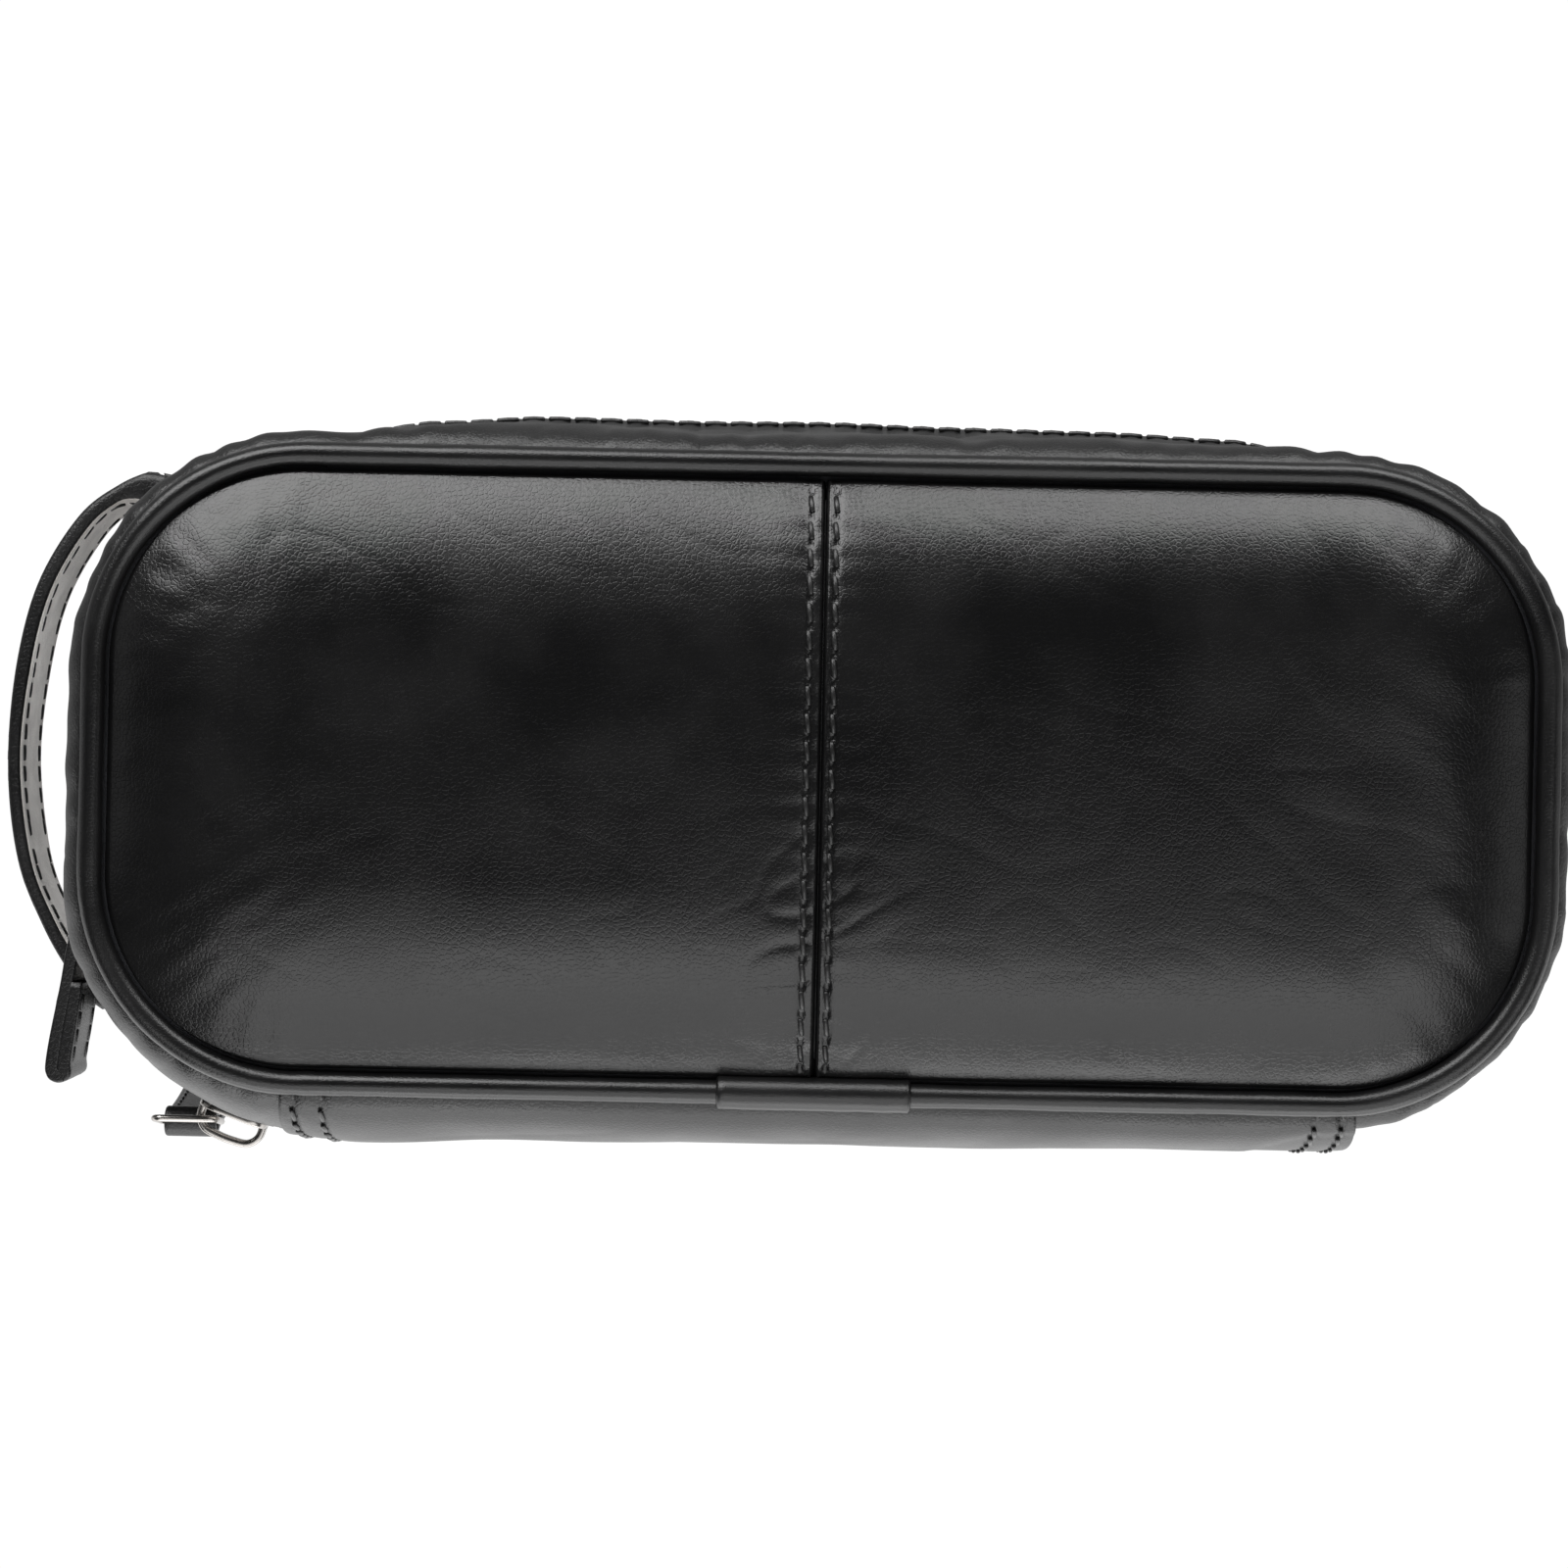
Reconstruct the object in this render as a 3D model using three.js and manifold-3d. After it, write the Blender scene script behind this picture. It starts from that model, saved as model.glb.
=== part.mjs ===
// Zip-round leather makeup bag, lying on its back panel. Millimetres, +Z up, +X to the right of the front panel.
// The body is a rounded rectangle: every shell is a section in (r, z) carried round four corner centres,
// where r is the distance from the rectangle that joins those centres.
import * as THREE from 'three';
import { mergeVertices } from 'three/addons/utils/BufferGeometryUtils.js';
import Module from 'manifold-3d';

const wasm = await Module();
wasm.setup();

// Overall size of the body.
const bodyLength = 273;
const bodyWidth = 131;
const pipingSpan = 89.6;
const crownHeight = 9.5;
const bulgeR = 47.5;
const pipingInset = 11.5;

// Leather, piping and lining.
const leather = 1.8;
const panelLeather = 2.2;
const pipingRadius = 2.1;
const pipingLift = 0.3;
const sleeveRadius = 2.35;
const sleeveLength = 33;
const seamGap = 1;
const seamTapeWidth = 12;
const seamTapeThickness = 0.6;
const liningThickness = 0.8;
const paddingThickness = 2;
const boardInset = 1.4;
const innerShare = 0.9;
const pocketSize = [150, 48, 0.8];
const pocketCorner = 8;
const fit = 0.3;

// Zip: the tape, its coil and the gap between the gusset's two folded edges.
const zipGap = 12;
const tapeReach = 12;
const tapeThickness = 0.6;
const coilSection = [1.6, 1.9];
const coilGap = 1.4;
const spineLap = 9;
const hingeGap = 0.4;

// Slider and pull, set by the angle from the hinge side round the front-left corner.
const sliderRestDeg = 20;
const lidZipStartDeg = 36;
const sliderLength = 13;
const sliderWidth = 10;
const plateThickness = 1.2;
const outerPlateStand = 0.4;
const innerPlateStand = 0.9;
const postSize = [2.4, 0.8];
const bridgeHeight = 4.1;
const bridgeLength = 11.6;
const bridgeWire = 1.1;
const bridgeWidth = 2;
const loopSize = [12.6, 10.6];
const loopWire = 1.3;
const loopDrop = 2.2;
const loopTiltDeg = 8;
const pullWidth = 9.6;
const pullThickness = 3.6;
const pullFoldRadius = 2.75;
const pullLength = 30;
const pullLeanDeg = 8;

// Hand strap and grab tab on the left end.
const strapReach = 15.3;
const strapThickness = 3;
const strapWidth = 20;
const strapBottomZ = 5;
const anchorAngles = { upper: [57, 64], lower: [37, 43] };
const tabThickness = 3.4;
const tabFoldThickness = 4.8;
const tabFoldLength = 16;
const tabWidth = 18;
const tabBottomZ = 29.6;
const tabLength = 30;
const tabAngleDeg = 12;

// Smoothness of the round shapes.
const cornerSteps = 8;
const curveSteps = 7;
const wireSides = 8;

// Worked out from the sizes above.
const coreX = bodyLength / 2 - bulgeR;
const coreY = bodyWidth / 2 - bulgeR;
const pipingR = bulgeR - pipingInset;
const backPipingZ = pipingRadius + pipingLift;
const frontPipingZ = backPipingZ + pipingSpan;
const zipZ = (backPipingZ + frontPipingZ) / 2;
const panelR = pipingR - sleeveRadius - 1.5 * fit;
const tapeOuterR = bulgeR - leather - 1.3 * fit;
const coilInnerR = tapeOuterR + fit;
const farAway = bodyLength + strapReach;
const spineHalf = coreX + spineLap;
const outerFaceR = coilInnerR + coilSection[0] + outerPlateStand;
const innerFaceR = tapeOuterR - tapeThickness - innerPlateStand;
const seamTapeZ = panelLeather + fit;
const boardZ = seamTapeZ + seamTapeThickness + fit;
const boardTopZ = boardZ + paddingThickness;
const liningTopZ = boardTopZ + fit + liningThickness;

const black = { color: 0x17181a, roughness: 0.42, metalness: 0 };
const finishes = {
  leather: black,
  piping: { ...black, roughness: 0.34 },
  suede: { color: 0x8f8b86, roughness: 0.95, metalness: 0 },
  lining: { color: 0x2a2b30, roughness: 0.85, metalness: 0 },
  tape: { color: 0x141416, roughness: 0.8, metalness: 0 },
  coil: { color: 0x101012, roughness: 0.45, metalness: 0 },
  board: { color: 0x6b6355, roughness: 0.9, metalness: 0 },
  foam: { color: 0xb9b7ae, roughness: 0.95, metalness: 0 },
  nickel: { color: 0xc9c9c6, roughness: 0.22, metalness: 1 },
};

/** Gives a geometry its name and finish. */
function piece(name, geometry, finish) {
  const mesh = new THREE.Mesh(geometry, new THREE.MeshStandardMaterial(finishes[finish]));
  mesh.name = name;
  return mesh;
}

/** Merges a geometry by position alone, so that it is one closed body. */
function merged(geometry) {
  const bare = geometry.clone();
  bare.deleteAttribute('normal');
  bare.deleteAttribute('uv');
  return mergeVertices(bare, 1e-4);
}

/** Turns a closed geometry into a solid for joining and cutting. */
function solid(geometry) {
  const bare = merged(geometry);
  const vertProperties = new Float32Array(bare.attributes.position.array);
  const triVerts = new Uint32Array(bare.index.array);
  return new wasm.Manifold(new wasm.Mesh({ numProp: 3, vertProperties, triVerts }));
}

/** Turns a solid back into a geometry. */
function shape(body) {
  const mesh = body.getMesh();
  const geometry = new THREE.BufferGeometry();
  geometry.setAttribute('position', new THREE.BufferAttribute(new Float32Array(mesh.vertProperties), 3));
  geometry.setIndex(new THREE.BufferAttribute(new Uint32Array(mesh.triVerts), 1));
  return geometry;
}

/** A box from its lowest and highest corners. */
function block(low, high) {
  const size = high.map((value, axis) => value - low[axis]);
  const box = new THREE.BoxGeometry(...size);
  box.translate(...low.map((value, axis) => value + size[axis] / 2));
  return box;
}

/** The stations round the body: each corner arc from its centre, anticlockwise from +X. */
function stations() {
  const corners = [[1, 1], [-1, 1], [-1, -1], [1, -1]];
  return corners.flatMap(([signX, signY], corner) => {
    const steps = Array.from({ length: cornerSteps + 1 }, (_, step) => step / cornerSteps);
    return steps.map((share) => {
      const angle = (corner + share) * Math.PI / 2;
      return { x: signX * coreX, y: signY * coreY, cos: Math.cos(angle), sin: Math.sin(angle) };
    });
  });
}

/** Carries a section of (r, z) points round the body. An open section is a dome, closed at both ends. */
function carried(section, dome = false) {
  const around = stations();
  const rings = around.length;
  const count = section.length;
  const positions = around.flatMap(({ x, y, cos, sin }) =>
    section.flatMap(([r, z]) => [x + r * cos, y + r * sin, z]));
  const index = [];
  const spans = dome ? count - 1 : count;
  for (let ring = 0; ring < rings; ring += 1) {
    const next = (ring + 1) % rings;
    for (let point = 0; point < spans; point += 1) {
      const after = (point + 1) % count;
      const [a, b] = [ring * count + point, next * count + point];
      const [c, d] = [next * count + after, ring * count + after];
      index.push(a, b, c, a, c, d);
    }
    if (dome) {
      const [low, high] = [rings * count, rings * count + 1];
      index.push(low, next * count, ring * count);
      index.push(high, ring * count + count - 1, next * count + count - 1);
    }
  }
  if (dome) {
    positions.push(0, 0, section[0][1], 0, 0, section[count - 1][1]);
  }
  const geometry = new THREE.BufferGeometry();
  geometry.setAttribute('position', new THREE.Float32BufferAttribute(positions, 3));
  geometry.setIndex(index);
  return geometry;
}

/** A round section of the carried piping. */
function circleSection(r, z, radius) {
  return Array.from({ length: wireSides }, (_, step) => {
    const angle = step * 2 * Math.PI / wireSides;
    return [r + radius * Math.cos(angle), z + radius * Math.sin(angle)];
  });
}

/** The gusset's outer face from the piping to the zip's plane. side is 1 on the lid and -1 on the base. */
function gussetCurve(side) {
  const pipingZ = side > 0 ? frontPipingZ : backPipingZ;
  const startZ = pipingZ - side * (pipingRadius + fit);
  return new THREE.CubicBezierCurve(
    new THREE.Vector2(pipingR + pipingRadius / 2, startZ),
    new THREE.Vector2(bulgeR - pipingInset / 3, startZ - side * fit),
    new THREE.Vector2(bulgeR, zipZ + side * pipingSpan * 0.3),
    new THREE.Vector2(bulgeR, zipZ),
  );
}

/** Points of the gusset curve moved inward by a depth and stopped at endZ. */
function gussetPoints(side, endZ, depth) {
  const curve = gussetCurve(side);
  const points = Array.from({ length: curveSteps + 1 }, (_, step) => {
    const at = curve.getPoint(step / curveSteps);
    const along = curve.getTangent(step / curveSteps);
    return [at.x + side * along.y * depth, at.y - side * along.x * depth];
  });
  const past = points.findIndex(([, z]) => side * (z - endZ) <= 0);
  const [before, after] = [points[past - 1], points[past]];
  const share = (endZ - before[1]) / (after[1] - before[1]);
  return [...points.slice(0, past), [before[0] + share * (after[0] - before[0]), endZ]];
}

/** A closed band of the gusset between two depths, wound so that its faces look out. */
function gussetBand(side, endZ, outer, inner) {
  const band = [...gussetPoints(side, endZ, outer), ...gussetPoints(side, endZ, inner).reverse()];
  return side > 0 ? band.reverse() : band;
}


/** The room that the spine takes out of the hinge side. */
function spineRoom(margin) {
  return block([-spineHalf - margin, -farAway, -farAway], [spineHalf + margin, 0, farAway]);
}

/** The zip gusset of one half: a U that stops at the spine's ends. */
function zipGusset(side) {
  const ring = carried(gussetBand(side, zipZ + side * zipGap / 2, 0, leather));
  return shape(solid(ring).subtract(solid(spineRoom(fit))));
}

/** The plain spine piece of one half, up to the hinge line. */
function spineHalfShell(side) {
  const ring = carried(gussetBand(side, zipZ + side * hingeGap / 2, 0, leather));
  return shape(solid(ring).intersect(solid(spineRoom(0))));
}

/** A flat-sided ring between two radii and two heights. */
function flatRing(lowR, highR, zA, zB) {
  const [low, high] = [Math.min(zA, zB), Math.max(zA, zB)];
  return carried([[lowR, low], [highR, low], [highR, high], [lowR, high]]);
}

/** Cuts a lid zip piece back to where the slider's park ends. */
function clearOfPark(body) {
  const startX = -coreX - bulgeR * Math.sin(THREE.MathUtils.degToRad(lidZipStartDeg));
  return body.subtract(solid(block([startX, -farAway, -farAway], [0, 0, farAway])));
}

/** Zip tape of one half. */
function zipTape(side) {
  const edgeZ = zipZ + side * coilGap / 2;
  const ring = flatRing(tapeOuterR - tapeThickness, tapeOuterR, edgeZ, zipZ + side * tapeReach);
  const open = solid(ring).subtract(solid(spineRoom(fit)));
  return shape(side > 0 ? clearOfPark(open) : open);
}

/** Zip coil of one half, as a plain bar on the tape's edge. */
function zipCoil(side) {
  const [depth, height] = coilSection;
  const edgeZ = zipZ + side * coilGap / 2;
  const ring = flatRing(coilInnerR, coilInnerR + depth, edgeZ, edgeZ + side * height);
  const open = solid(ring).subtract(solid(spineRoom(fit)));
  return shape(side > 0 ? clearOfPark(open) : open);
}

/** The front panel's section from its middle to a share of its edge radius, moved down by a depth. */
function crownLine(depth, edgeShare = 1) {
  const shares = [0, 0.35, 0.62, 0.8, 0.9, 0.96, 1].filter((share) => share <= edgeShare);
  return shares.map((share) => [
    panelR * share,
    frontPipingZ + crownHeight * Math.sqrt(1 - share ** 3.2) - depth,
  ]);
}

/** A crowned layer of the front panel between two depths below its outer face. */
function crownLayer(outer, inner, edgeShare) {
  return carried([...crownLine(inner, edgeShare), ...crownLine(outer, edgeShare).reverse()], true);
}

/** A flat layer of the back panel. */
function flatLayer(lowZ, highZ, edgeR) {
  return carried([[0, lowZ], [edgeR, lowZ], [edgeR, highZ], [0, highZ]], true);
}

/** One half of a panel beside the centre seam. */
function panelHalf(layer, side) {
  const near = side * seamGap / 2;
  const far = side * farAway;
  const room = block([Math.min(near, far), -farAway, -farAway], [Math.max(near, far), farAway, farAway]);
  return shape(solid(layer).intersect(solid(room)));
}

/** The tape sewn under a centre seam. */
function seamTape(layer) {
  const half = seamTapeWidth / 2;
  return shape(solid(layer).intersect(solid(block([-half, -farAway, -farAway], [half, farAway, farAway]))));
}

/** The piping of one panel, cut where its ends meet inside the sleeve. */
function piping(z) {
  const half = sleeveLength / 2 + fit;
  const ring = solid(carried(circleSection(pipingR, z, pipingRadius)));
  return shape(ring.subtract(solid(block([-half, -farAway, z - 9], [half, 0, z + 9]))));
}

/** The leather sleeve round the piping's two ends. */
function pipingSleeve(z) {
  const tube = new THREE.CylinderGeometry(sleeveRadius, sleeveRadius, sleeveLength, wireSides + 2);
  tube.rotateZ(Math.PI / 2);
  tube.translate(0, -coreY - pipingR, z);
  return tube;
}

/** The lid's lining: a cup under the padding and inside the gusset. */
function lidLining() {
  const depth = leather + fit;
  const above = panelLeather + seamTapeThickness + paddingThickness + 3 * fit;
  const endZ = zipZ + tapeReach + fit;
  const rimZ = frontPipingZ - panelLeather - 1.5 * fit;
  const line = (lower) => [
    ...crownLine(above + lower, innerShare),
    [panelR - lower, rimZ - lower],
    ...gussetPoints(1, endZ, depth + lower),
  ];
  return carried([...line(liningThickness), ...line(0).reverse()], true);
}

/** The base's lining: a tray over the board and inside the gusset. */
function baseLining() {
  const depth = leather + fit;
  const floorZ = boardTopZ + fit;
  const endZ = zipZ - tapeReach - fit;
  const line = (lower) => [
    [0, floorZ + lower],
    [panelR - boardInset - lower, floorZ + lower],
    ...gussetPoints(-1, endZ, depth + lower),
  ];
  return carried([...line(0), ...line(liningThickness).reverse()], true);
}

/** A flat slip pocket sewn to the base's lining. */
function innerPocket() {
  const [length, width, thickness] = pocketSize;
  const outline = new THREE.Shape();
  const [x, y, c] = [length / 2, width / 2, pocketCorner];
  outline.moveTo(-x + c, -y);
  outline.lineTo(x - c, -y);
  outline.absarc(x - c, -y + c, c, -Math.PI / 2, 0, false);
  outline.lineTo(x, y);
  outline.lineTo(-x, y);
  outline.lineTo(-x, -y + c);
  outline.absarc(-x + c, -y + c, c, Math.PI, Math.PI * 1.5, false);
  const slab = new THREE.ExtrudeGeometry(outline, { depth: thickness, bevelEnabled: false, curveSegments: 5 });
  slab.translate(0, 0, liningTopZ + fit);
  return slab;
}

/** The bound upper edge of the slip pocket. */
function pocketBinding() {
  const [length, width, thickness] = pocketSize;
  const lowY = width / 2 + fit;
  const lowZ = liningTopZ + fit;
  return block([-length / 2, lowY, lowZ], [length / 2, lowY + 3, lowZ + thickness + 0.6]);
}

/** A point beside the left end. deg runs from -X round the upper (1) or lower (-1) corner. */
function besideEnd(side, deg, standOff) {
  const angle = THREE.MathUtils.degToRad(deg);
  const r = bulgeR + standOff;
  return new THREE.Vector2(-coreX - r * Math.cos(angle), side * (coreY + r * Math.sin(angle)));
}

/** A strip of leather seen on edge: a curve given a thickness on each side, and a width along Z. */
function edgeStrip(curve, halfThickness, lowZ, width, steps) {
  const sides = [1, -1].map((sign) => Array.from({ length: steps + 1 }, (_, step) => {
    const share = step / steps;
    const at = curve.getPointAt(share);
    const along = curve.getTangentAt(share);
    const half = sign * halfThickness(share);
    return new THREE.Vector2(at.x - along.y * half, at.y + along.x * half);
  }));
  const outline = new THREE.Shape([...sides[0], ...sides[1].reverse()]);
  const strip = new THREE.ExtrudeGeometry(outline, { depth: width, bevelEnabled: false });
  strip.translate(0, 0, lowZ);
  return strip;
}

/** The hand strap: an arch that stands off the left end. */
function handStrap() {
  const top = strapReach - strapThickness / 2;
  const line = new THREE.SplineCurve([
    besideEnd(1, 49, top * 0.36),
    besideEnd(1, 42, top * 0.58),
    besideEnd(1, 32, top * 0.77),
    besideEnd(1, 16, top * 0.85),
    besideEnd(1, 0, top * 0.93),
    new THREE.Vector2(-coreX - bulgeR - top, 0),
    besideEnd(-1, 0, top * 0.85),
    besideEnd(-1, 12, top * 0.62),
    besideEnd(-1, 22, top * 0.46),
    besideEnd(-1, 30, top * 0.34),
  ]);
  return edgeStrip(line, () => strapThickness / 2, strapBottomZ, strapWidth, 26);
}

/** One end of the hand strap, sewn flat to the gusset. */
function strapAnchor(side, degrees) {
  const stand = fit + strapThickness / 2;
  const line = new THREE.LineCurve(besideEnd(side, degrees[0], stand), besideEnd(side, degrees[1], stand));
  return edgeStrip(line, () => strapThickness / 2, strapBottomZ, strapWidth, 1);
}

/** Where the grab tab leaves the gusset. */
function tabRoot() {
  return besideEnd(-1, tabAngleDeg, tabThickness / 2 + 2 * fit);
}

/** The grab tab: one strap end folded back on itself, thicker where it is doubled. */
function grabTab() {
  const root = tabRoot();
  const line = new THREE.LineCurve(root, new THREE.Vector2(root.x - 1.2, root.y - tabLength));
  const doubled = 1 - tabFoldLength / tabLength;
  const half = (share) => {
    const full = share > doubled ? tabFoldThickness : tabThickness;
    const end = Math.sqrt(Math.max(0, 1 - Math.max(0, (share - 0.93) / 0.09) ** 2));
    return full / 2 * end;
  };
  return edgeStrip(line, half, tabBottomZ, tabWidth, 14);
}

/** A closed wire loop round a rectangle in the XZ plane, with its corners rounded. */
function wireLoop(length, height, wire, corner) {
  const outline = (inset) => {
    const [x, z, c] = [length / 2 - inset, height / 2 - inset, Math.max(0.3, corner - inset)];
    const path = new THREE.Shape();
    path.absarc(x - c, z - c, c, 0, Math.PI / 2, false);
    path.absarc(-x + c, z - c, c, Math.PI / 2, Math.PI, false);
    path.absarc(-x + c, -z + c, c, Math.PI, Math.PI * 1.5, false);
    path.absarc(x - c, -z + c, c, Math.PI * 1.5, Math.PI * 2, false);
    return path;
  };
  const frame = outline(0);
  frame.holes.push(outline(wire));
  const loop = new THREE.ExtrudeGeometry(frame, { depth: wire, bevelEnabled: false, curveSegments: 4 });
  loop.translate(0, 0, -wire / 2);
  loop.rotateX(Math.PI / 2);
  return loop;
}

/** The slider: two plates joined by a post at the end nearest the hinge side. */
function sliderBody() {
  const [x, z] = [sliderLength / 2, sliderWidth / 2];
  const outer = block([-x, -outerFaceR - plateThickness, -z], [x, -outerFaceR, z]);
  const inner = block([-x, -innerFaceR, -z], [x, -innerFaceR + plateThickness, z]);
  const [postLength, postHeight] = postSize;
  const post = block([x - postLength, -outerFaceR - 0.2, -postHeight / 2], [x, -innerFaceR + 0.2, postHeight / 2]);
  return shape(solid(outer).add(solid(inner)).add(solid(post)));
}

/** The bridge that the pull loop hangs from, an arch over the slider's outer plate. */
function sliderBridge() {
  const base = -outerFaceR - plateThickness - fit / 3;
  const half = bridgeLength / 2;
  const arch = (inset) => {
    const path = new THREE.Shape();
    path.moveTo(-half + inset, base);
    path.quadraticCurveTo(-half + inset, base - bridgeHeight + inset, -half * 0.35, base - bridgeHeight + inset);
    path.lineTo(half * 0.35, base - bridgeHeight + inset);
    path.quadraticCurveTo(half - inset, base - bridgeHeight + inset, half - inset, base);
    return path.getPoints(5);
  };
  const outline = new THREE.Shape([...arch(0), ...arch(bridgeWire).reverse()]);
  const bridge = new THREE.ExtrudeGeometry(outline, { depth: bridgeWidth, bevelEnabled: false });
  bridge.translate(0, 0, -bridgeWidth / 2);
  return bridge;
}

/** The pull loop, hung by one side through the bridge. */
function pullLoop() {
  const [length, height] = loopSize;
  const loop = wireLoop(length, height, loopWire, 2.2);
  loop.translate(-length / 2 + loopWire / 2, 0, -loopDrop);
  return loop;
}

/** The leather pull: a strip folded over the loop's lower bar, its two halves sewn together below. */
function leatherPull() {
  const bore = loopWire / 2 + 2 * fit;
  const outline = new THREE.Shape();
  const half = pullThickness / 2;
  const open = Math.asin(half / pullFoldRadius);
  outline.absarc(0, 0, pullFoldRadius, -Math.PI / 2 + open, Math.PI * 1.5 - open, false);
  outline.lineTo(-half, -pullLength + 2);
  outline.lineTo(-half + 1, -pullLength);
  outline.lineTo(half - 1, -pullLength);
  outline.lineTo(half, -pullLength + 2);
  const hole = new THREE.Path();
  hole.absarc(0, 0, bore * 1.15, 0, Math.PI * 2, true);
  outline.holes.push(hole);
  const strip = new THREE.ExtrudeGeometry(outline, { depth: pullWidth, bevelEnabled: false, curveSegments: 9 });
  strip.translate(0, 0, -pullWidth / 2);
  strip.rotateX(Math.PI / 2);
  strip.rotateZ(Math.PI / 2);
  return strip;
}

/** Everything sewn to the back panel. */
function baseHalf() {
  const group = new THREE.Group();
  const back = flatLayer(0, panelLeather, panelR);
  const tape = flatLayer(seamTapeZ, seamTapeZ + seamTapeThickness, panelR - boardInset);
  group.add(
    piece('back_panel_left', panelHalf(back, -1), 'leather'),
    piece('back_panel_right', panelHalf(back, 1), 'leather'),
    piece('back_seam_tape', seamTape(tape), 'tape'),
    piece('back_board', flatLayer(boardZ, boardTopZ, panelR - boardInset), 'board'),
    piece('back_piping', piping(backPipingZ), 'piping'),
    piece('back_piping_sleeve', pipingSleeve(backPipingZ), 'leather'),
    piece('base_gusset', zipGusset(-1), 'leather'),
    piece('base_spine', spineHalfShell(-1), 'leather'),
    piece('base_zip_tape', zipTape(-1), 'tape'),
    piece('base_zip_coil', zipCoil(-1), 'coil'),
    piece('base_lining', baseLining(), 'lining'),
    piece('inner_pocket', innerPocket(), 'lining'),
    piece('pocket_binding', pocketBinding(), 'leather'),
    piece('strap_anchor_upper', strapAnchor(1, anchorAngles.upper), 'leather'),
    piece('strap_anchor_lower', strapAnchor(-1, anchorAngles.lower), 'leather'),
    piece('hand_strap', handStrap(), 'suede'),
    piece('grab_tab', grabTab(), 'leather'),
  );
  return group;
}

/** Everything that opens with the front panel. */
function lidHalf() {
  const group = new THREE.Group();
  const front = crownLayer(0, panelLeather, 1);
  const tapeTop = panelLeather + fit;
  const tape = crownLayer(tapeTop, tapeTop + seamTapeThickness, innerShare);
  const padTop = tapeTop + seamTapeThickness + fit;
  group.add(
    piece('front_panel_left', panelHalf(front, -1), 'leather'),
    piece('front_panel_right', panelHalf(front, 1), 'leather'),
    piece('front_seam_tape', seamTape(tape), 'tape'),
    piece('front_padding', crownLayer(padTop, padTop + paddingThickness, innerShare), 'foam'),
    piece('front_piping', piping(frontPipingZ), 'piping'),
    piece('front_piping_sleeve', pipingSleeve(frontPipingZ), 'leather'),
    piece('lid_gusset', zipGusset(1), 'leather'),
    piece('lid_spine', spineHalfShell(1), 'leather'),
    piece('lid_zip_tape', zipTape(1), 'tape'),
    piece('lid_zip_coil', zipCoil(1), 'coil'),
    piece('lid_lining', lidLining(), 'lining'),
  );
  return group;
}

/** The slider with its loop and leather pull, parked at the hinge end of the front-left corner. */
function zipSlider() {
  const slider = new THREE.Group();
  slider.position.set(-coreX, -coreY, zipZ);
  slider.rotation.z = -THREE.MathUtils.degToRad(sliderRestDeg);
  slider.add(piece('slider_body', sliderBody(), 'nickel'), piece('slider_bridge', sliderBridge(), 'nickel'));
  const hung = new THREE.Group();
  const windowR = outerFaceR + plateThickness + (bridgeHeight - bridgeWire) / 2;
  hung.position.set(-bridgeLength * 0.2, -windowR, 0);
  hung.rotation.z = THREE.MathUtils.degToRad(sliderRestDeg);
  const tilted = new THREE.Group();
  tilted.rotation.x = -THREE.MathUtils.degToRad(loopTiltDeg);
  tilted.add(piece('pull_loop', pullLoop(), 'nickel'));
  const hanging = new THREE.Group();
  const [length, height] = loopSize;
  hanging.position.set(-length / 2 + loopWire / 2, 0, -loopDrop - height / 2 + loopWire / 2);
  hanging.rotation.x = THREE.MathUtils.degToRad(loopTiltDeg + pullLeanDeg);
  hanging.add(piece('leather_pull', leatherPull(), 'leather'));
  tilted.add(hanging);
  hung.add(tilted);
  slider.add(hung);
  return slider;
}

const bag = new THREE.Group();
bag.add(baseHalf(), lidHalf(), zipSlider());
const bounds = new THREE.Box3().setFromObject(bag, true);
const middle = bounds.getCenter(new THREE.Vector3());
bag.position.set(-middle.x, -middle.y, -bounds.min.z);

export default bag;
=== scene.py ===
"""A zip-round leather makeup bag lying on its back panel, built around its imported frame. Metres, +Z up."""

import logging
import math
from collections.abc import Callable, Iterable, Sequence
from dataclasses import dataclass, field
from enum import Enum

import bmesh
import bpy
from mathutils import Matrix, Vector, geometry, noise


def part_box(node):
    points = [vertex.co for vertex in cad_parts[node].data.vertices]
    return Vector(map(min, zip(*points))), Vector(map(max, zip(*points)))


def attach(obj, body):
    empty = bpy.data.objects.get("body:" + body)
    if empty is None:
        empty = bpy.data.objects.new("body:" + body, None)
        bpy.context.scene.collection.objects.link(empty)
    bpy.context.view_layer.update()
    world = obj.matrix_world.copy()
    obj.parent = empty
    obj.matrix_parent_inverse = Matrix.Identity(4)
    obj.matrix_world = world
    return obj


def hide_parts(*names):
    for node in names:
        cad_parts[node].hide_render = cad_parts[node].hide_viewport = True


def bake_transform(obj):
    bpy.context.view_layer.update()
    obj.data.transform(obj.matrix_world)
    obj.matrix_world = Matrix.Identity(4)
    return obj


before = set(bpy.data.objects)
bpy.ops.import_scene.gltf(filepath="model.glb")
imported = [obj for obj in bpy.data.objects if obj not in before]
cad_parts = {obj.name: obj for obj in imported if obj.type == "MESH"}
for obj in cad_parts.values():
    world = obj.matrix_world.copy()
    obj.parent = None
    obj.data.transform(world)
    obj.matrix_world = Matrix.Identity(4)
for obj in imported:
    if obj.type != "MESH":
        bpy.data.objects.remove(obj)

LOG = logging.getLogger("makeup_bag")
MM = 0.001
QUARTER = math.pi / 2
UP = Vector((0, 0, 1))


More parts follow.
